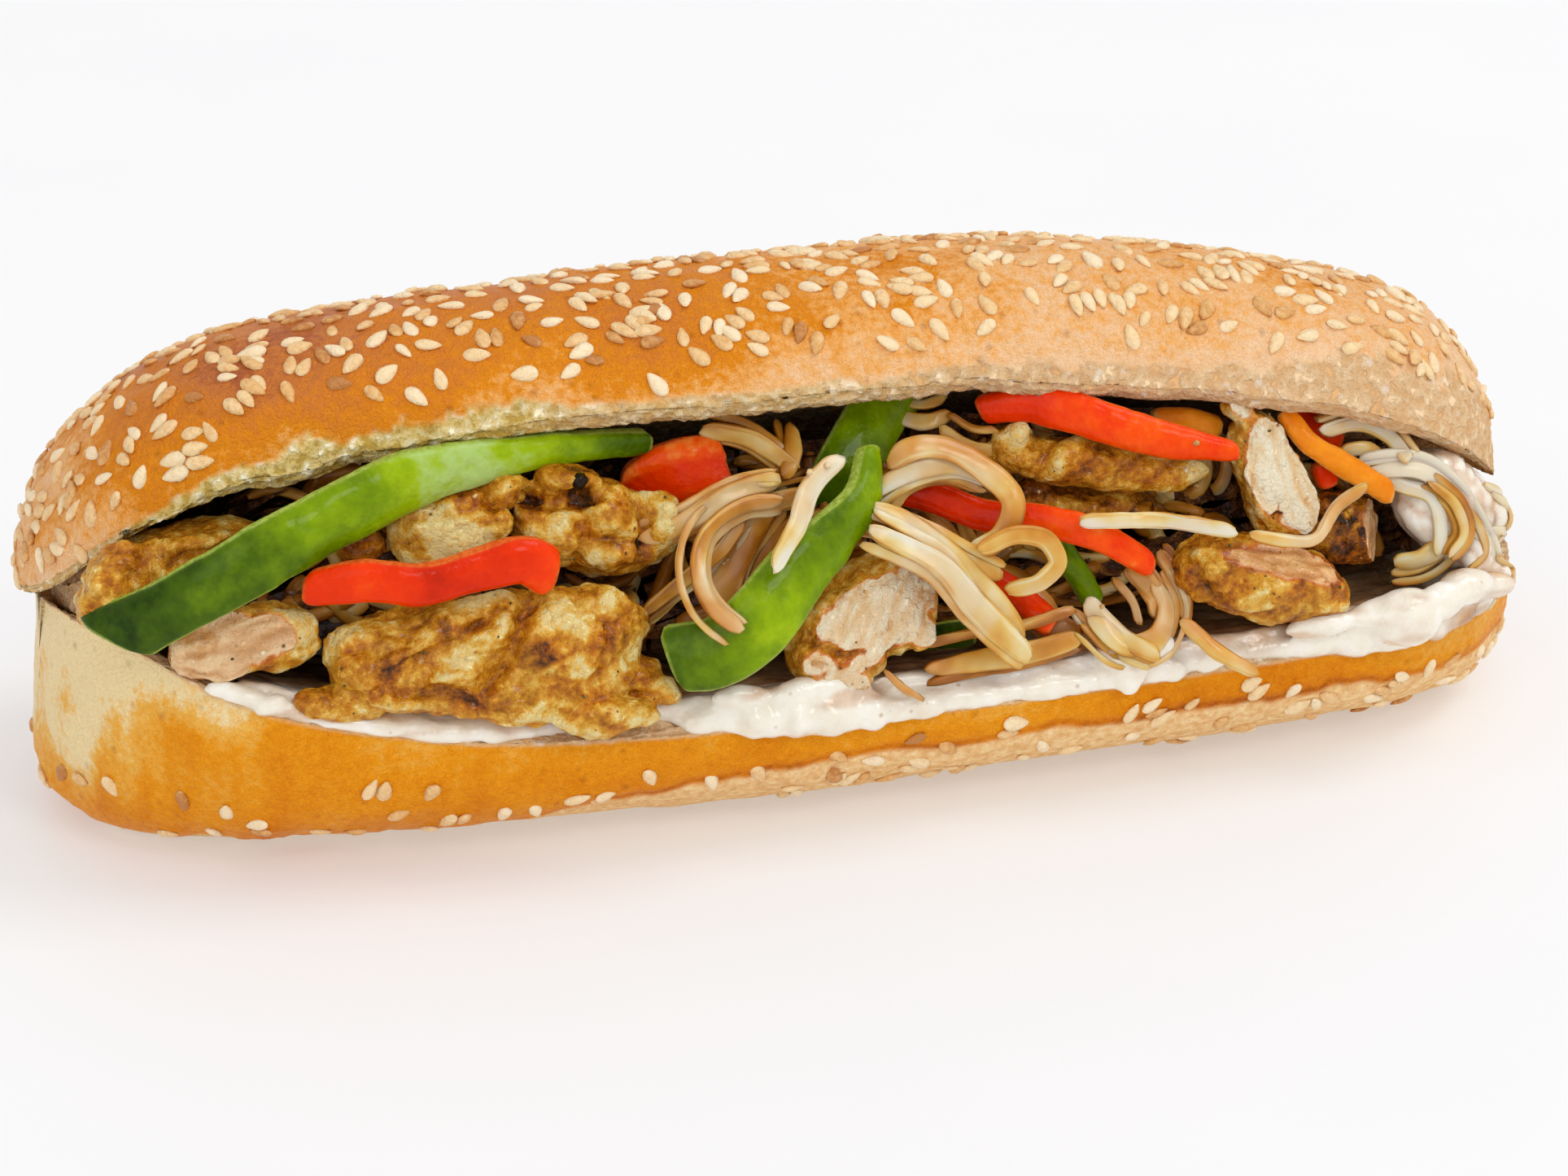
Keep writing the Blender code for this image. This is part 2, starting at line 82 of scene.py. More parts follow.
# ---- Lower half of the roll ---------------------------------------------------------------------------
# A long soft roll, baked golden on a tray, which leaves the foot paler and matte. It is cut along its
# front, so its top is an open pale crumb with a torn edge that the sauce and the filling lie on.

MM = 0.001
HALF_LENGTH = 98.5
HALF_WIDTH = 33.0
BOW = 5.6                  # how far both ends bend back from the middle
HINGE_Y = 33.0             # the back edge, where the two halves meet
HINGE_Z = 20.0
DISH = 3.0                 # hollow pressed into both cut faces
LIP_CHAMFER = 2.6          # torn crumb edge of both lips
PLAN_ROUND = 30.0          # length over which the ends round off, seen from above
REACH_LOW = (96.0, 97.0)   # how far the lower half reaches to the left and to the right
FOOT_SPREAD = (3.4, 0.0)   # how much further its foot reaches
FLAT_SINK = 1.2            # how much of the round underside is pressed flat
CORNER_RISE = 9.0          # how far the underside lifts at the very ends
LOW_ROUND = 16.0           # length over which it lifts
LOW_SQUARE = 2.4           # how square the lower half is across and in height, seen from its end
LOW_FULL = 2.6
ARC_CROWDING = 0.72        # how much closer together the points lie near the two edges of a crust
CUT_CROWDING = 1.7         # and near the lip on a cut face
LIP_HEIGHT = ((-100, 37), (-80, 26.5), (-55, 19.8), (-20, 17.4), (20, 16.8), (60, 17.3), (100, 17.1))
FOOT_HEIGHT = ((-100, 2), (-55, 2.5), (-38, 5.5), (-15, 9), (20, 10), (60, 10), (100, 9))
END_STEPS = 30             # rings over the last millimetres of each end, closer and closer
END_LENGTH = 12.0
MIDDLE_STEPS = 216         # rings between the ends
CRUST_STEPS = 150          # points round each ring: on the crust, the torn lip, the cut face, the back edge
LIP_STEPS = 20
CUT_STEPS = 46
BACK_STEPS = 4
TIP_RINGS = [0, 1, -2, -1]

low_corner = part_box("roll_bottom")[0]
roll_origin = np.array((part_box("roll_top")[0].x / MM + HALF_LENGTH, low_corner.y / MM + HALF_WIDTH,
                        low_corner.z / MM))


def in_scene(places):
    """Places in metres of places in the roll's own frame."""
    return (places + roll_origin) * MM


def curve(knots, values, at):
    """Smooth curve through values at knots, read at an array of places."""
    knots = np.asarray(knots, float)
    values = np.asarray(values, float)
    slopes = np.gradient(values, knots, axis=0)
    i = np.clip(np.searchsorted(knots, at) - 1, 0, len(knots) - 2)
    span = knots[i + 1] - knots[i]
    t = np.clip((at - knots[i]) / span, 0, 1)
    if values.ndim > 1:
        span, t = span[..., None], t[..., None]
    return ((1 + 2 * t) * (1 - t) ** 2 * values[i] + t * (1 - t) ** 2 * span * slopes[i]
            + t * t * (3 - 2 * t) * values[i + 1] + t * t * (t - 1) * span * slopes[i + 1])


def along(table, x):
    """A short table of (x, value) read at an array of places along the roll."""
    return curve(*zip(*table), x)


def rounding(x, length, power=2.2):
    """1 along the roll, falling to 0 at its ends over a length."""
    inside = np.clip((HALF_LENGTH - np.abs(x)) / length, 0, 1)
    return (1 - (1 - inside) ** power) ** (1 / power)


def signed_power(value, power):
    """A value's size to a power, with the value's own sign."""
    return np.sign(value) * np.abs(value) ** power


def step_between(low, high, value):
    """0 below low, 1 above high, and smooth between them."""
    t = np.clip((value - low) / (high - low), 0, 1)
    return t * t * (3 - 2 * t)


def grain(places, size, seed=0, octaves=2):
    """Smooth noise from about -1 to 1 whose bumps are about size wide, at places of any shape."""
    size = np.broadcast_to(np.asarray(size, float), (3,))
    offset = np.array((seed * 17.3, seed * 5.1, seed * 29.7))
    flat = places.reshape(-1, 3) / size + offset
    values = [noise.fractal(Vector(point), 1.0, 2.0, octaves) for point in flat]
    return np.array(values).reshape(places.shape[:-1])


def pores(places, size, seed=0):
    """0 in the middle of each bubble of an open crumb, 1 on the walls between them."""
    offset = np.array((seed * 11.9, seed * 3.3, seed * 7.7))
    flat = places.reshape(-1, 3) / size + offset
    walls = []
    for point in flat:
        near = noise.voronoi(Vector(point))[0]
        walls.append(near[1] - near[0])
    return 1 - np.clip(np.array(walls).reshape(places.shape[:-1]) * 2.2, 0, 1)


def grid_normals(grid):
    """Outward unit normals of a grid of rings."""
    around = np.roll(grid, -1, axis=1) - np.roll(grid, 1, axis=1)
    lengthwise = np.gradient(grid, axis=0)
    normals = np.cross(around, lengthwise)
    normals /= np.maximum(np.linalg.norm(normals, axis=-1, keepdims=True), 1e-9)
    outward = np.sum(normals * (grid - grid.mean(axis=1, keepdims=True))) > 0
    return normals if outward else -normals


def rings_faces(rings, sides):
    """Quads over a grid of rings, and a fan of triangles to an extra point at each end."""
    here = np.arange(sides)
    after = (here + 1) % sides
    ring = np.arange(rings - 1)[:, None] * sides
    last = (rings - 1) * sides
    quads = np.stack((ring + here, ring + after, ring + sides + after, ring + sides + here), -1)
    first_fan = np.stack((after, here, np.full(sides, rings * sides)), -1)
    last_fan = np.stack((last + here, last + after, np.full(sides, rings * sides + 1)), -1)
    return quads.reshape(-1, 4), np.concatenate((first_fan, last_fan))


def set_mark(mesh, name, values):
    """Keep a value at each point of a mesh, for its material to read."""
    attribute = mesh.attributes.new(name, "FLOAT", "POINT")
    attribute.data.foreach_set("value", np.asarray(values, np.float32))


def grids_mesh(name, parts, material, middle=np.mean):
    """One piece over several closed grids of rings, each with its own marks by name."""
    points, faces = [], []
    values = {label: [] for label in parts[0][1]}
    start = 0
    for grid, rows in parts:
        quads, fans = rings_faces(*grid.shape[:2])
        points.append(np.concatenate((grid.reshape(-1, 3), grid[[0, -1]].mean(axis=1))))
        faces += (quads + start).tolist() + (fans + start).tolist()
        for label, row in rows.items():
            values[label].append(np.concatenate((row.ravel(), middle(row[[0, -1]], axis=1))))
        start += len(points[-1])
    mesh = bpy.data.meshes.new(name)
    mesh.from_pydata(in_scene(np.concatenate(points)).tolist(), [], faces)
    for label, rows in values.items():
        set_mark(mesh, label, np.concatenate(rows))
    return mesh_piece(mesh, material)


def grid_mesh(name, grid, material, **marks):
    """A piece over one closed grid of rings."""
    return grids_mesh(name, [(grid, marks)], material, np.median)


def mesh_piece(mesh, material):
    """A smooth piece of a mesh, with its faces turned outward."""
    edit = bmesh.new()
    edit.from_mesh(mesh)
    if edit.calc_volume(signed=True) < 0:
        bmesh.ops.reverse_faces(edit, faces=edit.faces)
    edit.to_mesh(mesh)
    edit.free()
    mesh.shade_smooth()
    mesh.materials.append(material)
    piece = bpy.data.objects.new(mesh.name, mesh)
    bpy.context.scene.collection.objects.link(piece)
    return piece


def colour(code):
    """Linear colour of a #RRGGBB code."""
    channels = [int(code[i:i + 2], 16) / 255 for i in (1, 3, 5)]
    linear = [c / 12.92 if c <= 0.04045 else ((c + 0.055) / 1.055) ** 2.4 for c in channels]
    return (*linear, 1.0)


def hinge_line(x):
    """How far back the two halves meet, which follows the roll's bow."""
    return HINGE_Y + BOW * (x / HALF_LENGTH) ** 2


def cut_height(x, p):
    """Height of the lower half's cut plane, p in front of the hinge line."""
    return HINGE_Z + (along(LIP_HEIGHT, x) - HINGE_Z) * p / (2 * HALF_WIDTH)


def dish(x, p):
    """Depth of the hollow in a cut face, p in front of the hinge line."""
    round_end = rounding(x, PLAN_ROUND)
    across = (p - HALF_WIDTH) / (HALF_WIDTH * round_end)
    return DISH * round_end * np.cos(np.clip(across, -1, 1) * np.pi / 2)


def reach(x, ends):
    """Place along the roll, drawn in so that this half ends at its own left and right reach."""
    return x * np.where(x > 0, ends[1], ends[0]) / HALF_LENGTH


def low_place(x, p, z):
    """Point of the lower half, whose foot spreads at its ends."""
    spread = 1 - z / along(LIP_HEIGHT, x)
    ends = [far + foot * spread for far, foot in zip(REACH_LOW, FOOT_SPREAD)]
    return np.stack((reach(x, ends), hinge_line(x) - p, z), axis=-1)


def between_ends(start, end, steps, bulge=0.0):
    """Columns from the last of start to the first of end, which may bulge on the way."""
    f = np.linspace(0, 1, steps + 2)[1:-1]
    return start[:, -1:] * (1 - f) + end[:, :1] * f + bulge * np.sin(np.pi * f)


def half_profile(x, square, crust_height, cut_height_of, edge):
    """(p, height) round a half for each x: crust from back to front, torn lip, cut face, and back edge."""
    width = HALF_WIDTH * rounding(x, PLAN_ROUND)
    chamfer = np.minimum(LIP_CHAMFER, width / 4)
    u = np.linspace(0, 1, CRUST_STEPS)
    angle = np.pi * (u - ARC_CROWDING * np.sin(2 * np.pi * u) / (2 * np.pi))
    crust_p = HALF_WIDTH - width * signed_power(np.cos(angle), 2 / square)
    crust = crust_height(x, crust_p, np.sin(angle))
    cut_p = HALF_WIDTH + (width - chamfer) * (1 - 2 * np.linspace(0, 1, CUT_STEPS) ** CUT_CROWDING)
    cut = cut_height_of(x, cut_p)
    lip_p = between_ends(crust_p, cut_p, LIP_STEPS, edge)
    lip = between_ends(crust, cut, LIP_STEPS)
    back_p = between_ends(cut_p, crust_p, BACK_STEPS)
    back = between_ends(cut, crust, BACK_STEPS)
    return np.concatenate((crust_p, lip_p, cut_p, back_p), 1), np.concatenate((crust, lip, cut, back), 1)


end_part = END_LENGTH * (np.arange(1, END_STEPS + 1) / END_STEPS) ** 2
stations = np.concatenate((end_part - HALF_LENGTH,
                           np.linspace(END_LENGTH - HALF_LENGTH, HALF_LENGTH - END_LENGTH,
                                       MIDDLE_STEPS)[1:-1],
                           HALF_LENGTH - end_part[::-1]))[:, None]


def low_crust(x, p, share):
    """Height of the lower crust, where share runs from 0 at the edges to 1 underneath."""
    floor = CORNER_RISE * (1 - rounding(x, LOW_ROUND))
    rim = cut_height(x, p) - LIP_CHAMFER * 0.5 * rounding(x, PLAN_ROUND)
    return np.maximum(rim - (rim - floor + FLAT_SINK) * np.abs(share) ** (2 / LOW_FULL), floor)


def low_cut(x, p):
    """Height of the lower half's hollowed cut face."""
    return cut_height(x, p) - dish(x, p)


profile_p, profile_z = half_profile(stations, LOW_SQUARE, low_crust, low_cut, 0.5)
low_grid = low_place(np.broadcast_to(stations, profile_p.shape), profile_p, profile_z)
low_normals = grid_normals(low_grid)

# Arc length from the lip down the crust, the wavy edge of the pale foot, and the stretch marks that
# run down the left part of the crust.
crust_part = low_grid[:, :CRUST_STEPS]
below_lip = np.zeros(profile_p.shape)
step_length = np.linalg.norm(np.diff(crust_part[:, ::-1], axis=1), axis=-1)
below_lip[:, :CRUST_STEPS - 1] = np.cumsum(step_length, axis=1)[:, ::-1]
from_back = np.cumsum(step_length[:, ::-1], axis=1)
below_lip[:, 1:CRUST_STEPS] = np.minimum(below_lip[:, 1:CRUST_STEPS], from_back)
below_lip[:, 0] = 0
on_crust = np.zeros(profile_p.shape)
on_crust[:, :CRUST_STEPS] = 1
edge_wander = 1.3 * grain(low_grid * (1, 0, 0) + (0, 3.3, 0), 9, 1) + 0.5 * grain(low_grid * (1, 0, 0), 2.2,
                                                                                  2)
torn_edge = step_between(0.3, -0.3, below_lip - 0.4 - np.maximum(edge_wander - 0.5, 0))
low_crumb = np.maximum(1 - on_crust, torn_edge)
low_crumb[TIP_RINGS] = 0
foot_edge = along(FOOT_HEIGHT, stations) + 0.8 * edge_wander
foot_edge = foot_edge - 2.2 * step_between(89, 96, low_grid[..., 0])
foot = step_between(0.5, -0.5, low_grid[..., 2] - foot_edge) * on_crust
foot[TIP_RINGS] = 0
marks = grain(low_grid * (1, 0.25, 0.12), (3.0, 6, 6), 5, 3) * step_between(-25, -70, low_grid[..., 0])
lumps = 0.5 * grain(low_grid, 22, 3) + 0.26 * grain(low_grid, 7, 4) + 0.1 * grain(low_grid, 2.6, 10)
open_crumb = pores(low_grid, 1.6, 6) * 0.3 + 0.25 * grain(low_grid, 1.2, 7) - 0.2
crease = np.exp(-((low_grid[..., 2] - foot_edge - 0.6) / 0.7) ** 2) * on_crust
crease *= step_between(-60, -30, low_grid[..., 0])
raised = on_crust * (lumps + 0.34 * marks - 0.25 * foot - 0.3 * crease) + low_crumb * open_crumb
raised *= step_between(0.0, 1.5, low_grid[..., 2])
low_grid = low_grid + low_normals * raised[..., None]
low_grid[..., 2] = np.maximum(low_grid[..., 2], 0)


def put(tree, kind, inputs=(), **settings):
    """Add a node with its settings; inputs gives each socket a value, or what links into it."""
    made = tree.nodes.new("ShaderNode" + kind)
    for key, value in settings.items():
        setattr(made, key, value)
    for socket, value in dict(inputs).items():
        if isinstance(value, bpy.types.Node):
            value = value.outputs[0]
        if isinstance(value, bpy.types.NodeSocket):
            tree.links.new(value, made.inputs[socket])
        else:
            made.inputs[socket].default_value = value
    return made


def blended(tree, share, first, second, how="MIX"):
    """Colour from first to second, by a share from 0 to 1."""
    return put(tree, "Mix", {0: share, 6: first, 7: second}, data_type="RGBA", blend_type=how).outputs[2]


def maths(tree, how, *values):
    """A Math node over its values, in order."""
    return put(tree, "Math", dict(enumerate(values)), operation=how)


def between(tree, value, low, high, start=0.0, end=1.0):
    """A value from low to high, stretched to run from start to end."""
    return put(tree, "MapRange", {"Value": value, 1: low, 2: high, 3: start, 4: end})


def ramp(tree, value, *stops):
    """Colour along stops of (place, colour code)."""
    made = put(tree, "ValToRGB", {"Fac": value})
    elements = made.color_ramp.elements
    while len(elements) < len(stops):
        elements.new(0.5)
    for element, (place, code) in zip(elements, stops):
        element.position = place
        element.color = colour(code)
    return made


def mark(tree, name):
    """The value that the mesh holds under this name."""
    return put(tree, "Attribute", attribute_name=name).outputs["Fac"]


def group(name, inputs, outputs):
    """An empty node group with named value inputs and outputs, and its two end nodes."""
    tree = bpy.data.node_groups.new(name, "ShaderNodeTree")
    for label, value in inputs.items():
        tree.interface.new_socket(label, in_out="INPUT", socket_type="NodeSocketFloat").default_value = value
    for label in outputs:
        tree.interface.new_socket(label, in_out="OUTPUT", socket_type="NodeSocketFloat")
    return tree, tree.nodes.new("NodeGroupInput"), tree.nodes.new("NodeGroupOutput")


def place_group(tree, made, **values):
    """Place a node group in a material with its own values."""
    return put(tree, "Group", {label.replace("_", " "): value for label, value in values.items()},
               node_tree=made)


def food(name, roughness, **settings):
    """A Principled material for food, with its tree and its shader."""
    material = bpy.data.materials.new(name)
    material.use_nodes = True
    tree = material.node_tree
    shader = tree.nodes["Principled BSDF"]
    shader.inputs["Roughness"].default_value = roughness
    for label, value in settings.items():
        shader.inputs[label.replace("_", " ")].default_value = value
    return material, tree, shader


def feed(tree, shader, **values):
    """Link what changes over a surface into its shader."""
    for label, value in values.items():
        source = value.outputs[0] if isinstance(value, bpy.types.Node) else value
        tree.links.new(source, shader.inputs[label.replace("_", " ")])


def raise_by(tree, shader, height, distance):
    """Bump of a shader by a height from 0 to 1, which stands for a distance in millimetres."""
    bump = put(tree, "Bump", {"Height": height, "Distance": distance * MM})
    feed(tree, shader, Normal=bump)


# Mottle: cloudy unevenness. Speckle: small dots, each in its own cell. Both give masks from 0 to 1.
mottle, mottle_in, mottle_out = group("mottle", {"Size": 5.0, "Detail": 3.0, "Contrast": 1.0}, ("Mask",))
size_scale = maths(mottle, "DIVIDE", 1 / MM, mottle_in.outputs["Size"])
cloud = put(mottle, "TexNoise", {"Vector": put(mottle, "TexCoord").outputs["Object"], "Scale": size_scale,
                                 "Detail": mottle_in.outputs["Detail"], "Roughness": 0.6})
cloud = maths(mottle, "SUBTRACT", cloud, 0.5)
cloud = maths(mottle, "MULTIPLY", cloud, maths(mottle, "MULTIPLY", mottle_in.outputs["Contrast"], 2.6))
cloud = put(mottle, "Math", {0: cloud, 1: 0.5}, operation="ADD", use_clamp=True)
mottle.links.new(cloud.outputs[0], mottle_out.inputs["Mask"])

speckle, speckle_in, speckle_out = group("speckle", {"Spacing": 3.0, "Share": 0.3, "Softness": 0.1},
                                         ("Mask",))
spacing_scale = maths(speckle, "DIVIDE", 1 / MM, speckle_in.outputs["Spacing"])
dots = put(speckle, "TexVoronoi", {"Vector": put(speckle, "TexCoord").outputs["Object"],
                                   "Scale": spacing_scale})
chance = put(speckle, "SeparateColor", {"Color": dots.outputs["Color"]})
dot_size = maths(speckle, "MULTIPLY", speckle_in.outputs["Share"], chance)
inside = maths(speckle, "SUBTRACT", dot_size, dots.outputs["Distance"])
inside = maths(speckle, "DIVIDE", inside, speckle_in.outputs["Softness"])
inside = put(speckle, "Math", {0: inside, 1: 0.0}, operation="ADD", use_clamp=True)
speckle.links.new(inside.outputs[0], speckle_out.inputs["Mask"])


def bread(name, *bake_stops):
    """Glazed crust by its bake and painted light, open crumb by its own mark, and a matte foot where it stood
    on the tray.
    """
    material, tree, shader = food(name, 0.45, IOR=1.45, Specular_IOR_Level=0.1)
    broad = place_group(tree, mottle, Size=11.0, Detail=3.0, Contrast=0.9)
    fine = place_group(tree, mottle, Size=1.1, Detail=4.0, Contrast=1.2)
    wrinkles = place_group(tree, mottle, Size=0.42, Detail=2.0, Contrast=1.3)
    bake = maths(tree, "MULTIPLY_ADD", broad, 0.2, mark(tree, "bake"))
    bake = maths(tree, "MULTIPLY_ADD", fine, 0.18, bake)
    bake = maths(tree, "SUBTRACT", bake, 0.19)
    crust = ramp(tree, bake, *bake_stops)
    spots = place_group(tree, speckle, Spacing=2.6, Share=0.3, Softness=0.25)
    crust = blended(tree, maths(tree, "MULTIPLY", spots, 0.35), crust, colour("#7A3A12"), "MULTIPLY")
    flakes = place_group(tree, mottle, Size=1.6, Detail=5.0, Contrast=1.5)
    even = between(tree, flakes, 0.0, 1.0, 0.3, 0.7)
    crumb = ramp(tree, even, (0.0, "#CE9058"), (0.35, "#E6B680"), (0.7, "#F4D2A6"), (1.0, "#FBEACE"))
    holes = place_group(tree, speckle, Spacing=1.9, Share=0.4, Softness=0.2)
    crumb = blended(tree, maths(tree, "MULTIPLY", holes, 0.6), crumb, colour("#FBEEDC"))
    stained = ramp(tree, flakes, (0.0, "#BE9A44"), (0.4, "#E2C474"), (0.75, "#F4DEA0"), (1.0, "#FBF0CC"))
    crumb = blended(tree, mark(tree, "stain"), crumb, stained)
    foot = ramp(tree, fine, (0.0, "#E0AE72"), (0.5, "#EFC388"), (1.0, "#F8D9A4"))
    surface = blended(tree, mark(tree, "foot"), crust, foot)
    surface = blended(tree, mark(tree, "crumb"), surface, crumb)
    feed(tree, shader, Base_Color=surface)
    dull = maths(tree, "MAXIMUM", mark(tree, "crumb"), maths(tree, "MULTIPLY", mark(tree, "foot"), 0.8))
    rough = between(tree, dull, 0.0, 1.0, 0.34, 0.92)
    rough = maths(tree, "MULTIPLY_ADD", fine, 0.12, rough)
    feed(tree, shader, Roughness=rough)
    height = maths(tree, "MULTIPLY", wrinkles, between(tree, mark(tree, "foot"), 0.0, 1.0, 0.35, 0.2))
    height = blended(tree, mark(tree, "crumb"), height, flakes)
    raise_by(tree, shader, height, 0.5)
    return material


lower_bread = bread("golden crust", (0.0, "#F9DFA8"), (0.2, "#F6B950"), (0.45, "#F09A12"), (0.75, "#E08000"),
                    (1.0, "#B65C02"))
low_bake = 0.57 + 0.14 * grain(low_grid, 18, 8, 3) + 0.2 * marks
pale_corner = step_between(-84, -94, low_grid[..., 0]) * step_between(2, 16, low_grid[..., 2])
low_bake -= 0.72 * pale_corner * np.clip(0.8 + 0.4 * grain(low_grid, 9, 9) - 0.25 * marks, 0.1, 1.0)
low_bake -= 0.4 * step_between(-72, -88, low_grid[..., 0]) * step_between(9.0, 1.0, below_lip)
low_bake -= 0.16 * step_between(8.0, 1.0, below_lip)
low_bake += 0.22 * crease + 0.1 * step_between(10, 35, low_grid[..., 0]) * step_between(75, 55,
                                                                                        low_grid[..., 0])
low_bake += 0.09 * step_between(-45, -15, low_grid[..., 0]) * step_between(80, 55, low_grid[..., 0])
roll_bottom = grid_mesh("roll_lower", low_grid, lower_bread, bake=low_bake, crumb=low_crumb, foot=foot,
                        stain=np.zeros(low_bake.shape))
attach(roll_bottom, "root")
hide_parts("roll_bottom")

# ---- Upper half of the roll ---------------------------------------------------------------------------
# The crown of the same roll, glazed and baked browner than the sides. It is tilted up round the back
# edge, and its torn front edge shows a band of crumb that widens into an open patch at the right end.

REACH_TOP = (98.5, 94.5)   # how far the upper half reaches to the left and to the right
HINGE_GAP = 0.5            # between the two halves at the back edge
TOP_SQUARE = 2.3           # how square the upper half is, seen from its end
DOME = ((-100, 18), (-60, 21.7), (0, 24), (60, 22.7), (100, 20.5))
DOME_ROUND = (26.0, 18.0)  # lengths over which it falls off at the left and at the right
OPENING_DEG = ((-100, 13.5), (-91, 21.5), (-80, 27), (-50, 30.5), (-15, 30.5), (25, 30), (60, 24.5), (82, 17),
               (100, 7))
# Width of the torn crumb above the lip, and how far the lip hangs down
CRUMB_BAND = ((-100, 0.7), (-88, 1.4), (-72, 2.3), (-50, 2.3), (-28, 1.6), (-10, 1.5), (10, 1.9), (45, 2.6),
              (62, 4.2), (74, 8.5), (90, 10), (100, 7))
LIP_SAG = ((-100, 0.3), (-88, 1.8), (-72, 3.4), (-55, 2.4), (-40, 1.3), (-20, 1), (0, 1), (20, 1.4),
           (40, 2.4), (60, 1.8), (75, 1), (100, 0.3))


def upper_crust(x, p, share):
    """Height of the upper crust over the cut plane, where share runs from 0 at the edges to 1 on top."""
    thickness = along(DOME, x) * rounding(x, np.where(x > 0, DOME_ROUND[1], DOME_ROUND[0]), 2.6)
    rim = LIP_CHAMFER * 0.6 * rounding(x, PLAN_ROUND) * p / (2 * HALF_WIDTH)
    return rim + (thickness - rim) * np.abs(share) ** (2 / TOP_SQUARE)


profile_p, profile_q = half_profile(stations, TOP_SQUARE, upper_crust, dish, 0.4)
tilt = np.radians(along(OPENING_DEG, stations))
top_grid = np.stack((np.broadcast_to(reach(stations, REACH_TOP), profile_p.shape),
                     hinge_line(stations) - profile_p * np.cos(tilt) + profile_q * np.sin(tilt),
                     HINGE_Z + HINGE_GAP + profile_p * np.sin(tilt) + profile_q * np.cos(tilt)), axis=-1)
top_normals = grid_normals(top_grid)

above_lip = np.zeros(profile_p.shape)
step_length = np.linalg.norm(np.diff(top_grid[:, CRUST_STEPS - 1::-1], axis=1), axis=-1)
above_lip[:, :CRUST_STEPS - 1] = np.cumsum(step_length, axis=1)[:, ::-1]
on_front = profile_p > HALF_WIDTH
band = along(CRUMB_BAND, stations) * step_between(HALF_WIDTH - 3, HALF_WIDTH + 13, profile_p)
wander = 0.4 * grain(top_grid, 7, 11) + 0.25 * grain(top_grid, 1.8, 12, 3)
torn_edge = step_between(0.35, -0.35, above_lip - band * (1 + wander) + 0.3)
top_crumb = np.where(on_front, torn_edge, 0)
top_crumb[:, CRUST_STEPS:] = 1
on_crust = 1 - top_crumb
bumps = 0.6 * grain(top_grid, 24, 13) + 0.34 * grain(top_grid, 8, 14) + 0.13 * grain(top_grid, 2.6, 15)
top_pores = pores(top_grid, 1.7, 16) * 0.5 + 0.45 * grain(top_grid, 1.4, 17, 3) - 0.6
top_pores *= 1 - 0.6 * step_between(10, 50, top_grid[..., 0])
raised = on_crust * bumps + top_crumb * top_pores
top_grid = top_grid + top_normals * raised[..., None]
near_lip = np.exp(-np.maximum(above_lip, 0) ** 2 / 9) * on_front
near_lip[:, CRUST_STEPS:] = step_between(2 * HALF_WIDTH - 14, 2 * HALF_WIDTH - 1, profile_p)[:, CRUST_STEPS:]
sag = along(LIP_SAG, stations) * (1 + 0.35 * grain(top_grid * (1, 0, 0), 8, 19))
top_grid[..., 2] -= sag * near_lip

upper_bread = bread("browned crust", (0.0, "#F8D4AC"), (0.2, "#F6C490"), (0.34, "#F4B062"), (0.5, "#E48A10"),
                    (0.68, "#D87E26"), (0.85, "#CC7836"), (1.0, "#B26036"))
share_up = np.clip(top_normals[..., 2], 0, 1)
top_bake = 0.46 + 0.36 * step_between(0.35, 0.95, share_up) + 0.2 * grain(top_grid, 16, 18, 3)
# Paler towards the right: partly a lighter bake, partly painted light from the key on the right.
top_bake *= 1 - 0.65 * step_between(-80, 45, top_grid[..., 0])
top_bake -= 0.05 * step_between(7.0, 1.0, above_lip) * on_front
top_bake -= 0.14 * step_between(-78, -94, top_grid[..., 0])
top_stain = step_between(-25, -45, top_grid[..., 0]) * step_between(-96, -86, top_grid[..., 0])
oiled = 0.45 * step_between(30, -20, top_grid[..., 0]) * on_front
top_stain = np.maximum(top_stain, oiled * step_between(2.4, 0.4, above_lip - 0.6 * grain(top_grid, 4, 20)))
roll_top = grid_mesh("roll_upper", top_grid, upper_bread, bake=top_bake, crumb=top_crumb,
                     foot=np.zeros(top_bake.shape), stain=top_stain)
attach(roll_top, "root")
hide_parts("roll_top")

# ---- Crumb at the hinge -------------------------------------------------------------------------------
# The roll isn't cut right through: crumb still joins the two halves along the back. It is torn open
# to a wedge that reaches the front at the left end, made as one long wedge between the two cut faces.

WEB_DEPTH = (11.0, 66.0)   # how far forward it reaches, along the roll and at its left end
WEB_INSET = 0.6
WEB_SINK = 0.5             # how deep it is sunk in both cut faces
WEB_HOLLOW = 2.5
WEB_STEPS = 24
WEB_EDGE_STEPS = 8
WEB_REACH = (95.0, 93.0)
WEB_ENDS = (0.8, 0.4, 0.05)    # sizes of the rings that close each end

web_stations = stations[5:-5:2]
web_width = HALF_WIDTH * rounding(web_stations, PLAN_ROUND)
share = np.linspace(0, 1, WEB_STEPS)
closed = step_between(-87, -92, web_stations)
web_reach = np.minimum(WEB_DEPTH[0] * (1 - closed) + WEB_DEPTH[1] * closed, web_width * (1 + 0.84 * closed))
web_p = HALF_WIDTH - web_width + WEB_INSET + share * web_reach
low_z = low_cut(web_stations, web_p) - WEB_SINK
web_tilt = np.radians(along(OPENING_DEG, web_stations))
web_q = dish(web_stations, web_p) + WEB_SINK
high_z = HINGE_Z + HINGE_GAP + web_p * np.sin(web_tilt) + web_q * np.cos(web_tilt)
high_z, high_p = high_z[:, ::-1], web_p[:, ::-1]
front_p = between_ends(web_p, high_p, WEB_EDGE_STEPS, -WEB_HOLLOW)
front_z = between_ends(low_z, high_z, WEB_EDGE_STEPS)
back_p = between_ends(high_p, web_p, WEB_EDGE_STEPS)
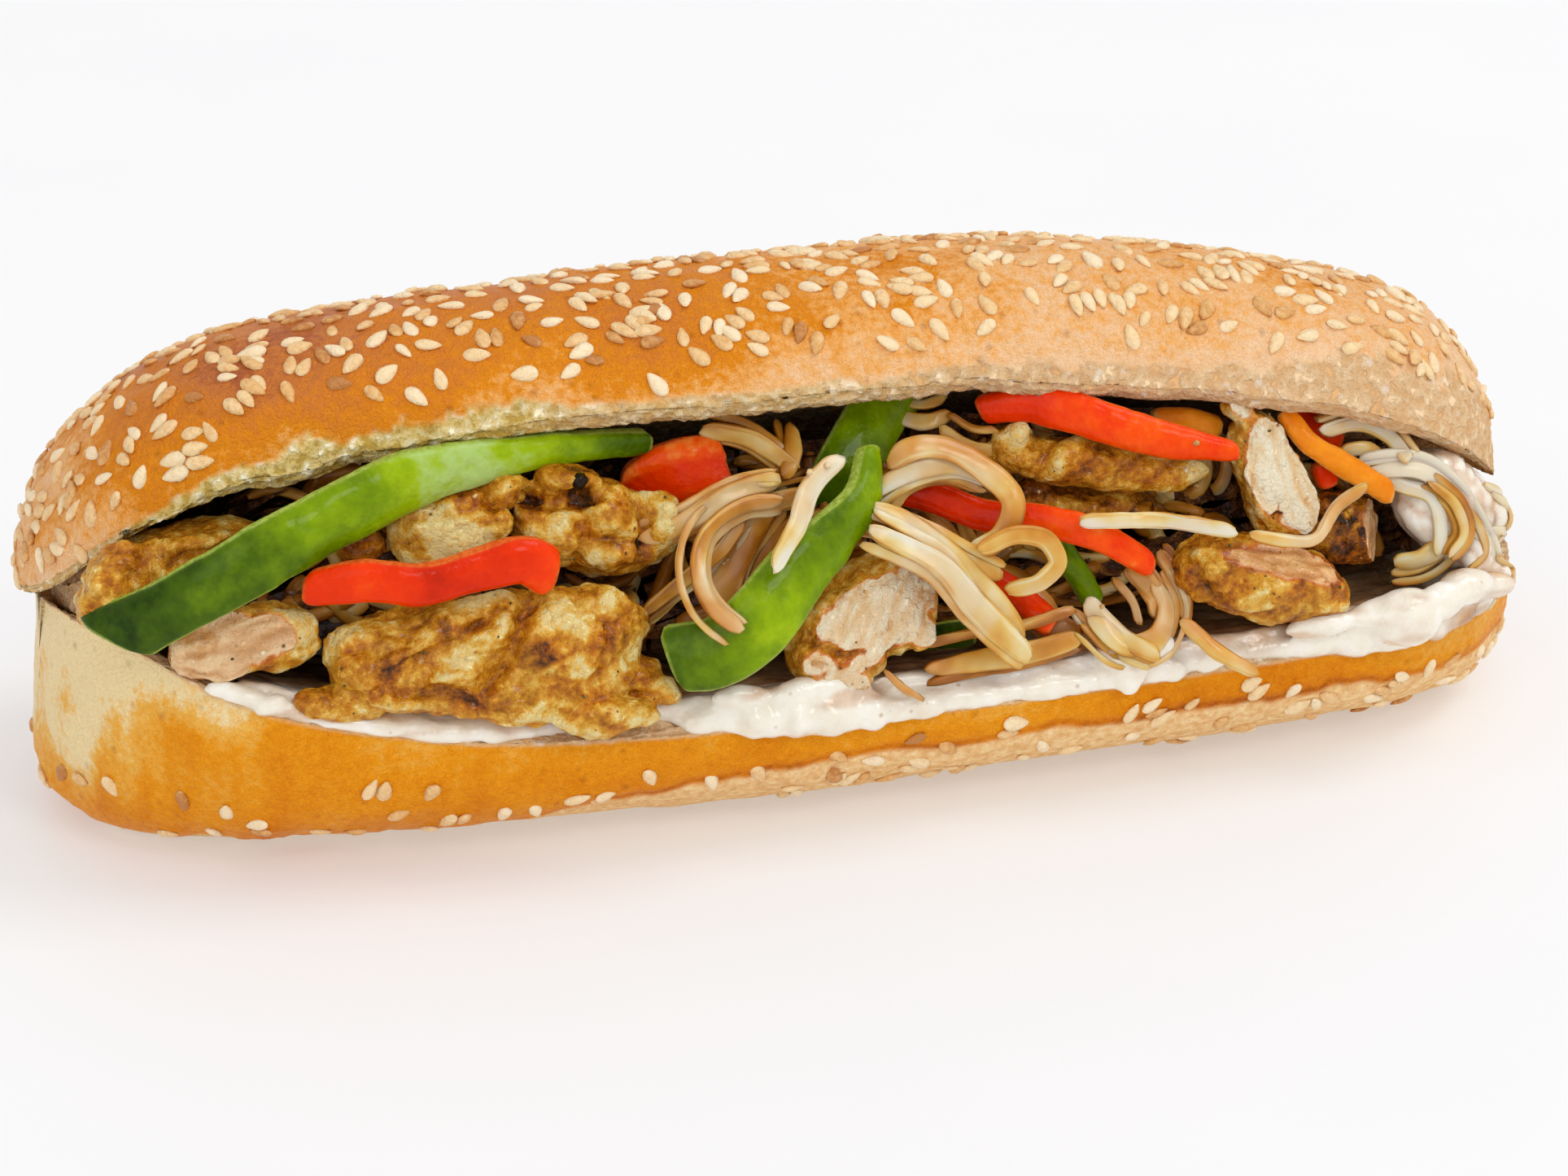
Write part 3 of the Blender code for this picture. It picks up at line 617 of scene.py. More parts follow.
back_z = between_ends(high_z, low_z, WEB_EDGE_STEPS)
web_p = np.concatenate((web_p, front_p, high_p, back_p), axis=1)
web_z = np.concatenate((low_z, front_z, high_z, back_z), axis=1)
web_grid = np.stack((np.broadcast_to(reach(web_stations, WEB_REACH), web_p.shape),
                     hinge_line(web_stations) - web_p, web_z), axis=-1)
web_grid = web_grid + grid_normals(web_grid) * (0.5 * grain(web_grid, 1.8, 27, 3))[..., None]
middles = web_grid[[0, -1]].mean(axis=1)[:, None]
closing = [middles + (web_grid[[0, -1]] - middles) * share for share in WEB_ENDS]
web_grid = np.concatenate([ring[:1] for ring in closing[::-1]] + [web_grid] + [ring[1:] for ring in closing])
flat_mark = np.zeros(web_grid.shape[:2])
web = grid_mesh("roll_hinge", web_grid, upper_bread, bake=flat_mark, crumb=flat_mark + 1, foot=flat_mark,
                stain=flat_mark)
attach(web, "root")

# ---- Sesame seeds -------------------------------------------------------------------------------------
# Hulled seeds that were sprinkled on the glaze before baking, so they are sunk a little and toasted. They
# lie thick on the crown and the ends, often side by side, and a few stick to the lower half.

SEED_SIZE = (3.15, 1.8, 0.95)
SEED_RINGS = 8
SEED_SIDES = 7
SEED_RISE = 0.12           # how far a seed's middle lies above the crust
SEED_ASIDE = 1.7           # from one seed to the next in a cluster
CLUSTER_ODDS = (0.68, 0.24, 0.06, 0.02)    # of one, two, three and four seeds
CLUSTERS_APART = 3.3
CANDIDATES = 14            # places tried for each cluster
UPPER_CLUSTERS = 860
LOWER_CLUSTERS = 135


def surface_tree(piece):
    """A piece's surface, to find the nearest place on it or cast rays at it."""
    return BVHTree.FromPolygons([v.co for v in piece.data.vertices],
                                [tuple(face.vertices) for face in piece.data.polygons])


def spread_out(places, weight, count, apart, rng):
    """Indices of places drawn by weight, none nearer to another than apart."""
    chosen = []
    order = rng.choice(len(places), size=min(count * CANDIDATES, len(places)), replace=False,
                       p=weight / weight.sum())
    for i in order:
        if len(chosen) == count:
            break
        if not chosen or np.min(np.linalg.norm(places[chosen] - places[i], axis=1)) > apart:
            chosen.append(i)
    return chosen


def seed_shape():
    """Rings of one seed about its middle: a flat teardrop, pointed at one end."""
    t = -np.cos(np.pi * (np.arange(SEED_RINGS) + 0.6) / (SEED_RINGS + 0.2))
    around = 2 * np.pi * np.arange(SEED_SIDES) / SEED_SIDES
    girth = np.sqrt(1 - t ** 2) * (1 - 0.34 * t) * (1 - 0.1 * t ** 2)
    return np.stack((np.broadcast_to(t[:, None] * SEED_SIZE[0] / 2, (SEED_RINGS, SEED_SIDES)),
                     girth[:, None] * np.cos(around) * SEED_SIZE[1] / 2,
                     girth[:, None] * np.sin(around) * SEED_SIZE[2] / 2), axis=-1)


def sprinkle(name, tree, grid, normals, weight, clusters, rng):
    """Clusters of one to four seeds, side by side, laid on a surface where weight is high."""
    step_around = np.linalg.norm(np.roll(grid, -1, axis=1) - grid, axis=-1)
    step_along = np.linalg.norm(np.gradient(grid, axis=0), axis=-1)
    flat = grid.reshape(-1, 3)
    up_here = normals.reshape(-1, 3)
    shape = seed_shape()
    quads, fans = rings_faces(SEED_RINGS, SEED_SIDES)
    points, faces, tones = [], [], []
    for i in spread_out(flat, (weight * step_around * step_along).ravel(), clusters, CLUSTERS_APART, rng):
        tangent = np.cross(up_here[i], rng.normal(size=3))
        tangent /= np.linalg.norm(tangent)
        side = np.cross(up_here[i], tangent)
        for k in range(rng.choice((1, 2, 3, 4), p=CLUSTER_ODDS)):
            guess = flat[i] + side * k * SEED_ASIDE + tangent * rng.uniform(-0.5, 0.5)
            near, normal, _, _ = tree.find_nearest(Vector(in_scene(guess)))
            turn = rng.normal(0, 0.16)
            ahead = tangent * math.cos(turn) + side * math.sin(turn)
            normal = np.array(normal)
            ahead -= normal * float(ahead @ normal)
            ahead /= np.linalg.norm(ahead)
            tipped = ahead + normal * rng.normal(0, 0.07)
            across = np.cross(normal, ahead)
            size = rng.normal(1.0, 0.09)
            body = shape @ np.array((tipped, across + normal * rng.normal(0, 0.12), normal)) * size
            body = body + normal * SEED_RISE
            ends = np.stack((-tipped, tipped)) * SEED_SIZE[0] / 2 * size + normal * SEED_RISE
            start = sum(map(len, points))
            points.append(np.concatenate((body.reshape(-1, 3), ends)) * MM + near)
            faces.append((quads + start, fans + start))
            browner = 0.1 * step_between(-20, -75, flat[i, 0])
            tones.append(np.full(len(points[-1]), np.clip(rng.normal(0.35, 0.25), 0, 1) + browner))
            tones[-1] += np.append(np.repeat(0.16 * np.linspace(-1, 1, SEED_RINGS) ** 3, SEED_SIDES),
                                   (0, 0.2))
    mesh = bpy.data.meshes.new(name)
    mesh.from_pydata(np.concatenate(points).tolist(), [],
                     [face for quad, fan in faces for face in quad.tolist() + fan.tolist()])
    set_mark(mesh, "toast", np.concatenate(tones))
    return mesh_piece(mesh, sesame)


sesame, tree, shader = food("toasted sesame", 0.42, Specular_IOR_Level=0.45, Subsurface_Weight=0.08,
                            Subsurface_Scale=0.001)
fine = place_group(tree, mottle, Size=0.7, Detail=2.0, Contrast=1.0)
toast = maths(tree, "MULTIPLY_ADD", fine, 0.22, mark(tree, "toast"))
toasted = ramp(tree, toast, (0.1, "#F8E2BC"), (0.45, "#F2D19C"), (0.75, "#E2AC66"), (1.0, "#BE7A36"))
feed(tree, shader, Base_Color=toasted)
raise_by(tree, shader, fine, 0.15)

rng = np.random.default_rng(41)
x_here = top_grid[..., 0]
ends_here = np.maximum(step_between(-70, -88, x_here), step_between(70, 84, x_here))
crown = step_between(3.0, 8.5, above_lip + 4 * grain(top_grid, 15, 21))
on_back = (profile_p <= HALF_WIDTH) * step_between(4, 12, top_grid[..., 2] - HINGE_Z)
weight = np.where(profile_p > HALF_WIDTH, np.maximum(crown, 0.9 * ends_here * step_between(2, 5, above_lip)),
                  on_back)
weight *= (1 - top_crumb) * (0.6 + 0.4 * step_between(-0.5, 0.35, grain(top_grid, 13, 22)))
weight[:, CRUST_STEPS:] = 0
seeds_top = sprinkle("sesame_on_crown", surface_tree(roll_top), top_grid, top_normals, weight + 1e-9,
                     UPPER_CLUSTERS, rng)
low_row = step_between(2.5, 5.0, low_grid[..., 2]) * step_between(13.5, 9.5, low_grid[..., 2])
weight = low_row * (1 - low_crumb) * (0.25 + 0.75 * step_between(-0.3, 0.4, grain(low_grid, 16, 23)))
weight *= 0.35 + 0.65 * step_between(-75, -40, low_grid[..., 0])
weight[:, CRUST_STEPS:] = 0
seeds_low = sprinkle("sesame_on_side", surface_tree(roll_bottom), low_grid, low_normals, weight + 1e-9,
                     LOWER_CLUSTERS, rng)
for piece, slot in ((seeds_top, "browned_crust"), (seeds_low, "golden_crust")):
    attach(piece, "root")

# ---- Filling: laying things out in the mouth, and the white sauce --------------------------------------
# Everything inside lies in the mouth's own frame, which leans back a little. A thick white sauce is
# spread on the lower half, so it bulges over the lip in waves, drips once, and fills the right end.

MOUTH_LEAN = math.radians(13.6)
MOUTH_LOW_Y = -33.0        # where the mouth's frame begins, on the lower lip
MOUTH_LOW_Z = 17.0
SAUCE_VOXEL = 0.56
SAUCE_SOFT = 8             # rounds of smoothing
SAUCE_OVER = 0.9           # how far the bead hangs over the torn lip
BEAD_STEP = 1.3            # from one ball of the bead along the lip to the next
# How far the bead stands out past the lip's middle, and how thick it is
SAUCE_FRONT = ((-80, 1), (-66, 0.6), (-45, -0.4), (-36, -1.6), (-27, -1.6), (-21, 0.4), (-15, 0.9), (0, 1.1),
               (12, 0.2), (34, 0.4), (50, -0.6), (66, 0.6), (84, -0.4))
SAUCE_BEAD = ((-80, 0.9), (-66, 1.2), (-45, 1.1), (-38, 0.7), (-32, 0.3), (-27, 0.4), (-22, 1.7), (-15, 2.1),
              (0, 2.2), (12, 1.5), (34, 1.6), (50, 1.3), (66, 2.1), (84, 1.8))
# The drip, the dollop and the smear that runs up to the right end: place, half sizes and spin
SAUCE_DROPS = (
    ((30.2, 3, 0.6), (2.8, 1.8, 1.8), -8), ((35.2, 3.2, 0.5), (3.2, 1.7, 1.8), 8),
    ((32, 1.2, 0.9), (2.6, 2.2, 1.6), 0), ((31.8, -0.8, 0.9), (1.5, 1.9, 1.2), 0),
    ((69.4, 3.2, 0.8), (4.9, 3.9, 3), -6), ((66, 4.2, 0), (4.4, 2, 2.2), 10),
    ((74.4, 4.2, -0.6), (4, 2.6, 2.4), 24), ((78.6, 5.6, -2.2), (4, 2.4, 2.6), 14),
    ((83.6, 5.2, -3.4), (3, 1.6, 1.8), 4), ((58, 3.4, 0), (5, 1.7, 1.8), 4),
    ((-8, 3, 0.6), (7, 2.2, 1.6), 2), ((-18, 3.4, 0.4), (4, 1.5, 1.4), -4),
)


def mouth(x, v, n):
    """Place in the roll's frame of a point given in the mouth's frame."""
    x, v, n = np.broadcast_arrays(np.asarray(x, float), v, n)
    return np.stack((x, MOUTH_LOW_Y + v * math.sin(MOUTH_LEAN) - n * math.cos(MOUTH_LEAN),
                     MOUTH_LOW_Z + v * math.cos(MOUTH_LEAN) + n * math.sin(MOUTH_LEAN)), axis=-1)


RIGHT = mouth(1, 0, 0) - mouth(0, 0, 0)
UPWARD = mouth(0, 1, 0) - mouth(0, 0, 0)
OUTWARD = mouth(0, 0, 1) - mouth(0, 0, 0)


def add_ball(edit, at, half, spin=0.0):
    """Add an ellipsoid at a place in the roll's frame, with half sizes along x, up and out, and a spin."""
    made = bmesh.ops.create_icosphere(edit, subdivisions=3, radius=1.0)["verts"]
    turn = math.radians(spin)
    ahead = RIGHT * math.cos(turn) + UPWARD * math.sin(turn)
    aloft = UPWARD * math.cos(turn) - RIGHT * math.sin(turn)
    for vertex in made:
        d = vertex.co
        place = np.asarray(at) + ahead * d.x * half[0] + aloft * d.y * half[1] + OUTWARD * d.z * half[2]
        vertex.co = in_scene(place)


def mesh_of(name, edit):
    """A bmesh as a mesh."""
    mesh = bpy.data.meshes.new(name)
    edit.to_mesh(mesh)
    edit.free()
    return mesh


def melted(name, edit, voxel, smooth):
    """One even skin round everything in a bmesh, smoothed so many times."""
    rough = mesh_of(name + "_rough", edit)
    holder = bpy.data.objects.new(name + "_rough", rough)
    bpy.context.scene.collection.objects.link(holder)
    remesh = holder.modifiers.new("skin", "REMESH")
    remesh.mode = "VOXEL"
    remesh.voxel_size = voxel * MM
    soften = holder.modifiers.new("soften", "SMOOTH")
    soften.factor = 0.5
    soften.iterations = smooth
    evaluated = holder.evaluated_get(bpy.context.evaluated_depsgraph_get())
    skin = bpy.data.meshes.new_from_object(evaluated)
    skin.name = name
    bpy.data.objects.remove(holder)
    bpy.data.meshes.remove(rough)
    return skin


def points_of(mesh):
    """Places in the roll's frame and normals of a mesh's points."""
    places = np.empty(len(mesh.vertices) * 3)
    mesh.vertices.foreach_get("co", places)
    normals = np.empty(len(mesh.vertices) * 3)
    mesh.vertex_normals.foreach_get("vector", normals)
    return places.reshape(-1, 3) / MM - roll_origin, normals.reshape(-1, 3)


def move_points(mesh, places):
    """Put a mesh's points at places in the roll's frame."""
    mesh.vertices.foreach_set("co", in_scene(places).ravel())
    mesh.update()


edit = bmesh.new()
for node in ("sauce_layer", "sauce_end"):
    edit.from_mesh(frame["nodes"][node].data)
for at, half, spin in SAUCE_DROPS:
    add_ball(edit, mouth(*at), half, spin)
rng = np.random.default_rng(7)
for x in np.arange(-82, 84, BEAD_STEP):
    here = np.array([[x]])
    bead = float(along(SAUCE_BEAD, here)[0, 0]) * rng.uniform(0.75, 1.25)
    stand_out = float(along(SAUCE_FRONT, here)[0, 0]) + rng.uniform(-0.5, 0.5)
    p = HALF_WIDTH * (1 + rounding(here, PLAN_ROUND)) - LIP_CHAMFER * 0.7 + stand_out + SAUCE_OVER
    lip = low_place(here, p, cut_height(here, p) - SAUCE_OVER * 0.6)[0, 0]
    add_ball(edit, lip + UPWARD * bead * 0.1, (rng.uniform(1.6, 2.6), bead, bead * 1.1), rng.uniform(-15, 15))
sauce_mesh = melted("white_sauce", edit, SAUCE_VOXEL, SAUCE_SOFT)
places, normals = points_of(sauce_mesh)
waves = 0.35 * grain(places, (7, 4, 4), 31) + 0.08 * grain(places, 2.2, 32)
move_points(sauce_mesh, places + normals * waves[:, None])
# Oil tints the sauce in patches near its top; deep inside the mouth, except at the left tip, painted shade
# turns it amber-brown.
oil_and_shade_mask = 0.6 * step_between(0.1, 0.55, grain(places, (9, 5, 2.5), 33))
oil_and_shade_mask *= step_between(1.5, 3.5, places[:, 2] - 15.5)
depth = (places - mouth(0, 0, 0)) @ OUTWARD
left_tip = step_between(-50, -62, places[:, 0])
oil_and_shade_mask = np.maximum(oil_and_shade_mask, step_between(-1.0, -4.5, depth + 6 * left_tip + 1.2 * grain(places, 4, 34)))
set_mark(sauce_mesh, "oil_and_shade", oil_and_shade_mask)

creamy, tree, shader = food("white sauce", 0.2, Specular_IOR_Level=0.45, Subsurface_Weight=0.2,
                            Subsurface_Scale=0.002, Coat_Weight=0.3, Coat_Roughness=0.1)
shader.inputs["Subsurface Radius"].default_value = (1.0, 0.9, 0.75)
cloudy = place_group(tree, mottle, Size=4.0, Detail=3.0, Contrast=0.9)
cream = ramp(tree, cloudy, (0.0, "#E9DEC9"), (0.5, "#F1EADA"), (1.0, "#F7F3E9"))
# Amber-brown of the oil and of the painted shade deep inside the mouth
oil_and_shade_colour = ramp(tree, cloudy, (0.0, "#8A4E14"), (0.5, "#BE7E32"), (1.0, "#DDB070"))
fleck = place_group(tree, speckle, Spacing=2.2, Share=0.2, Softness=0.15)
cream = blended(tree, maths(tree, "MULTIPLY", mark(tree, "oil_and_shade"), 0.85), cream, oil_and_shade_colour)
cream = blended(tree, maths(tree, "MULTIPLY", fleck, 0.6), cream, colour("#A87B3C"))
feed(tree, shader, Base_Color=cream)
raise_by(tree, shader, place_group(tree, mottle, Size=1.8, Detail=2.0, Contrast=0.8), 0.12)
sauce = mesh_piece(sauce_mesh, creamy)
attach(sauce, "root")
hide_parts("sauce_layer", "sauce_drip", "sauce_dollop", "sauce_end")

# ---- Chicken ------------------------------------------------------------------------------------------
# Chunks of chicken seared in oil and curry spice: lumpy golden-brown outsides, with painted shade that
# darkens their creases and backs, and pale fibrous faces where a chunk was cut or torn. Each one is
# skinned afresh over its solid and knobs.

CHICKEN_VOXEL = 0.45
CHICKEN_SOFT = 2           # rounds of smoothing, few enough to keep the cut edges


def chunk_look(tone, fibres=0, knobs=(), cuts=(), grooves=(), spots=()):
    """One chunk's look, in the mouth's frame.

    tone is how seared it is, fibres their direction in degrees, knobs (place, half sizes, spin), cuts (place,
    facing, how pink), grooves (depth, (x, v) places), darkened with painted shade, and spots (x, v, radius,
    change of tone), the paler of which partly paint highlights.
    """
    return dict(tone=tone, fibres=fibres, knobs=knobs, cuts=cuts, grooves=grooves, spots=spots)


CHUNKS = {
    "left_top": chunk_look(0.34, 7,
        knobs=(((-90, 26.5, -9), (3.4, 2.4, 2.4), 20), ((-81, 27.6, -9), (5, 1.6, 2.2), 8),
            ((-91.5, 23, -8.5), (3, 3.2, 3), 0), ((-93, 21.5, -10), (2.6, 3.4, 3.2), 0), ((-86, 24, -9.5),
            (5, 3.4, 3), 10)),
        grooves=((1, ((-91, 28.5), (-87.5, 27.4), (-86.5, 24.5))), (0.8, ((-84, 26), (-78, 26.8),
            (-73, 27.5))))),
    "left_cut": chunk_look(0.3, 10,
        cuts=(((-77.5, 16.4, -3), (-0.3, 0.05, 1), 0.7),),
        spots=((-70.2, 15.4, 2.4, -0.3), (-75, 12.4, 2, 0.3))),
    "lower": chunk_look(0.4, -8,
        knobs=(((-38.5, 12, 0.3), (6.3, 6.3, 5.6), 20), ((-30.2, 7, -0.8), (3.2, 2.3, 2.4), -30),
            ((-32.5, 12.6, -1), (3.4, 3, 3.4), -50), ((-51, 16.4, -0.4), (9.5, 2.2, 3.6), 6),
            ((-53.2, 10.4, 2.2), (4.3, 1.8, 3), 6), ((-44, 5.4, 0.6), (9.5, 2.3, 3.6), -4),
            ((-63.5, 11.6, -0.8), (4, 3.4, 4), 0), ((-59.5, 13, 1.2), (4.2, 1.7, 2.8), 24),
            ((-60.5, 8.2, 0.6), (4.2, 1.7, 2.8), -10), ((-35.5, 3.4, 2.2), (7, 2.3, 2.8), -4),
            ((-28, 5.2, 0.2), (3, 1.8, 2.2), -24), ((-66.5, 7.6, -1.6), (5.6, 2.4, 3), -12),
            ((-37, 15.6, -0.6), (4.6, 2.6, 3.4), 24)),
        grooves=((1.6, ((-44.2, 17.5), (-46.4, 12.5), (-49.8, 8.2))), (0.9, ((-62, 12), (-55, 13.8),
            (-49, 16.6))), (0.8, ((-60, 8.4), (-54, 8.6), (-48, 5))), (0.8, ((-35.6, 17.5), (-34.4, 12.5),
            (-36.4, 8)))),
        spots=((-38.6, 9.8, 2.2, -0.45), (-53.2, 10.6, 3.2, -0.3), (-38.5, 15.5, 3, -0.2),
            (-31.8, 9.5, 2.2, -0.35), (-43, 12, 2.4, 0.3), (-52, 6.5, 3, 0.25), (-46.5, 4.6, 2.5, -0.25),
            (-56, 17, 4, 0.15))),
    "pale": chunk_look(0.3, 0,
        knobs=(((-45.8, 27, -3), (2.4, 2, 2), 0), ((-50.5, 30, -5), (5.6, 1.8, 2.6), 4)),
        grooves=((0.7, ((-55.5, 28.4), (-50, 29.4), (-45.5, 29.6))),),
        spots=((-51.5, 26.4, 4.6, -0.75), (-50, 31, 3.6, 0.35), (-45.6, 27, 1.2, 0.3))),
    "upper": chunk_look(0.38, -14,
        knobs=(((-36.2, 31, -4.8), (4.2, 2.2, 3), -14), ((-44.6, 30.6, -4.8), (3.8, 2.2, 3), 25),
            ((-24.9, 24.8, -4.8), (3, 3.9, 3.6), 0), ((-31.2, 22, -4.8), (6.4, 1.9, 3.2), -12),
            ((-32, 26.6, -4.2), (4.2, 2.6, 3.4), -30), ((-38.5, 26.4, -4.6), (2.6, 3, 2.6), 0)),
        grooves=((1.5, ((-41.5, 29.2), (-39.5, 29), (-36.5, 28.8), (-33.5, 29.6))), (1.3, ((-35.6, 28.5),
            (-35.2, 25), (-36, 21.5))), (1.2, ((-28.2, 29), (-27.6, 25), (-28.4, 21.5))), (0.9, ((-35, 23.8),
            (-31, 23.9), (-28, 22.8)))),
        spots=((-35.4, 31, 3.6, 0.5), (-24.6, 26, 2.6, -0.5), (-23.6, 22.6, 1.6, -0.5),
            (-41.4, 28.8, 1.8, 0.5), (-33, 26.8, 2.6, -0.15), (-38.6, 25.6, 2.2, -0.2),
            (-44.5, 31, 2.8, 0.2))),
    "small": chunk_look(0.7),
    "middle": chunk_look(0.3, 62,
        knobs=(((-8, 7.4, 0.2), (3.2, 4.2, 3), 10), ((-4.8, 4.4, 1.4), (3.2, 1.7, 1.8), -12),
            ((5.2, 9.4, -0.5), (2.6, 3.4, 2.6), 0), ((0.8, 16.4, -1), (3.4, 1.7, 2.2), 30)),
        cuts=(((0.6, 11.8, 1.3), (0.12, 0.1, 1), 0.25), ((-5, 4.9, 2.2), (-0.1, -0.4, 1), 0.3)),
        grooves=((1.5, ((-9.5, 9.5), (-6.2, 7.4), (-2.4, 7.2))), (1, ((3.6, 8.8), (1.6, 6.6), (1.8, 4.6)))),
        spots=((4.6, 8.6, 2.4, 0.35), (-9.4, 9, 2.4, -0.1))),
    "long": chunk_look(0.42, -12,
        knobs=(((20.5, 30, -6.2), (3.2, 1.9, 2.2), 30), ((44.6, 23.6, -6.4), (2.2, 1.4, 1.8), 0)),
        grooves=((0.8, ((23.5, 31), (24.5, 28.6), (23.8, 26))),),
        spots=((21, 30.4, 2.4, -0.55), (44.5, 23.4, 2.4, -0.4))),
    "behind": chunk_look(0.62, -6, knobs=(((24.6, 22.9, -10), (2.4, 1.8, 2), 0),)),
    "upright": chunk_look(0.32, 108,
        knobs=(((50.6, 31.4, -4.6), (1.9, 2.6, 2.2), 15), ((57.4, 17.4, -3.4), (2.4, 2.6, 2.6), 0)),
        cuts=(((53.6, 24.4, -3.4), (0.12, 0.1, 1), 0.1),),
        grooves=((1.2, ((53, 20.6), (53.6, 19), (53.8, 17.4))),),
        spots=((53.5, 19, 1.8, 0.7), (50.4, 31, 2, -0.4))),
    "brown": chunk_look(0.72, 60,
        cuts=(((68.4, 14.3, -7.4), (0.8, 0.05, 0.6), 0.8),),
        grooves=((0.8, ((64.5, 18), (65.6, 16), (67, 13.4))),),
        spots=((65.4, 16.6, 1, -0.7), (66.2, 14.8, 0.9, -0.7))),
    "right": chunk_look(0.54, -16,
        cuts=(((54.5, 11.6, 1.4), (0.25, 0.72, 0.65), 1),),
        grooves=((0.7, ((41, 13.5), (41.8, 11), (43.5, 8.6))),),
        spots=((47, 9, 3.4, -0.15), (53, 5.5, 3, 0.15))),
}


def facing_of(row):
    """Unit direction in the roll's frame of a direction given along x, up and out of the mouth."""
    facing = RIGHT * row[0] + UPWARD * row[1] + OUTWARD * row[2]
    return facing / np.linalg.norm(facing)


def far_from_line(x, v, line):
    """Distance of each (x, v) place from a line of (x, v) points."""
    nearest = np.full(x.shape, np.inf)
    for (x0, v0), (x1, v1) in zip(line, line[1:]):
        length = (x1 - x0) ** 2 + (v1 - v0) ** 2
        t = np.clip(((x - x0) * (x1 - x0) + (v - v0) * (v1 - v0)) / length, 0, 1)
        nearest = np.minimum(nearest, np.hypot(x - x0 - t * (x1 - x0), v - v0 - t * (v1 - v0)))
    return nearest


def make_chunk(name, look, seed):
    """One chunk, skinned over its solid and knobs, roughened, grooved and cut."""
    edit = bmesh.new()
    edit.from_mesh(frame["nodes"]["chicken_" + name].data)
    for at, half, spin in look["knobs"]:
        add_ball(edit, mouth(*at), half, spin)
    mesh = melted("chicken_" + name + "_seared", edit, CHICKEN_VOXEL, CHICKEN_SOFT)
    places, normals = points_of(mesh)
    x = places[:, 0]
    v = (places - mouth(0, 0, 0)) @ UPWARD
    in_front = step_between(-0.3, 0.3, normals @ OUTWARD)
    turn = math.radians(look["fibres"])
    along_fibre = RIGHT * math.cos(turn) + UPWARD * math.sin(turn)
    fibre_place = places - np.outer(places @ along_fibre, along_fibre) * 0.8
    lumps = grain(places, 5.5, seed)
    bent = places + 1.4 * grain(places, 6, seed + 60)[:, None]
    creases = np.abs(grain(bent, (7.0, 5.0, 5.0), seed + 40, 2))
    knots = grain(places, 1.5, seed + 80, 2)
    fibres = grain(fibre_place, 1.1, seed + 120, 2)
    flakes = np.abs(grain(fibre_place, 1.4, seed + 200, 2)) - 0.25
    crags = np.abs(grain(places, 2.3, seed + 240, 3)) - 0.25
    raised = 0.6 * lumps + 0.9 * (creases - 0.28) + 0.12 * knots + 0.1 * fibres + 0.14 * flakes + 0.4 * crags
    # Darker at random and where lumps stand out, and darker in the hollows of creases, flakes and crags:
    # painted shade.
    sear_and_shade = look["tone"] + 0.01 + 0.18 * lumps - 0.7 * (creases - 0.22) - 0.08 * knots
    sear_and_shade = sear_and_shade - 0.16 * flakes - 0.4 * crags
    wander = 1.0 * grain(places, 3.2, seed + 160, 2)
    # Grooves are pressed in and darkened with painted shade.
    for depth, line in look["grooves"]:
        in_groove = in_front * np.exp(-(far_from_line(x + wander, v, line) / (0.55 + 0.25 * depth)) ** 2)
        raised -= depth * in_groove
        sear_and_shade += 0.24 * in_groove
    # Spots make the tone paler or darker; the paler ones partly paint highlights.
    for spot_x, spot_v, radius, change in look["spots"]:
        away = np.hypot(x - spot_x, v - spot_v) + wander
        sear_and_shade += change * in_front * step_between(radius, 0.45 * radius, away)
    places = places + normals * raised[:, None]
    pale = np.zeros(len(places))
    pink = np.zeros(len(places))
    for at, facing, pinkness in look["cuts"]:
        facing = facing_of(facing)
        beyond = (places - mouth(*at)) @ facing + 0.25 * lumps
        places = places - facing * (np.maximum(beyond, 0) * 0.85)[:, None]
        on_cut = step_between(-0.2, 0.55, beyond + 0.25 * knots)
        places = places + facing * (on_cut * (0.28 * fibres + 0.12 * knots + 0.2 * lumps))[:, None]
        pale = np.maximum(pale, on_cut)
        pink = np.maximum(pink, on_cut * pinkness)
    move_points(mesh, places)
    # Painted shade: darker towards the back of each chunk, away from the mouth.
    sear_and_shade += 0.3 * step_between(2, -8, (places - places.mean(axis=0)) @ OUTWARD)
    set_mark(mesh, "sear_and_shade", np.clip(sear_and_shade, 0, 1))
    set_mark(mesh, "cut", pale)
    set_mark(mesh, "pink", pink)
    set_mark(mesh, "fibre", 0.58 + 0.6 * fibres)
    return mesh_piece(mesh, seared)


seared, tree, shader = food("seared chicken", 0.42, Specular_IOR_Level=0.15, Subsurface_Weight=0.1,
                            Subsurface_Scale=0.0015, Coat_Weight=0.32, Coat_Roughness=0.08)
shader.inputs["Subsurface Radius"].default_value = (1.0, 0.5, 0.3)
fine = place_group(tree, mottle, Size=0.8, Detail=4.0, Contrast=1.3)
patches = place_group(tree, mottle, Size=4.5, Detail=3.0, Contrast=1.3)
sear_and_shade = maths(tree, "MULTIPLY_ADD", fine, 0.3, mark(tree, "sear_and_shade"))
sear_and_shade = maths(tree, "SUBTRACT", sear_and_shade, 0.15)
outside = ramp(tree, sear_and_shade, (0.0, "#F8DF98"), (0.2, "#F4BE4C"), (0.42, "#DE9014"), (0.64, "#BE6A04"),
               (0.84, "#8E4602"),
               (1.0, "#402002"))
olive = ramp(tree, sear_and_shade, (0.0, "#E8D286"), (0.3, "#CBA436"), (0.6, "#A07C12"), (1.0, "#4A3206"))
outside = blended(tree, maths(tree, "MULTIPLY", patches, 0.35), outside, olive)
flesh = ramp(tree, mark(tree, "fibre"), (0.0, "#F4C07C"), (0.35, "#FFE0AC"), (0.75, "#FFF6D8"))
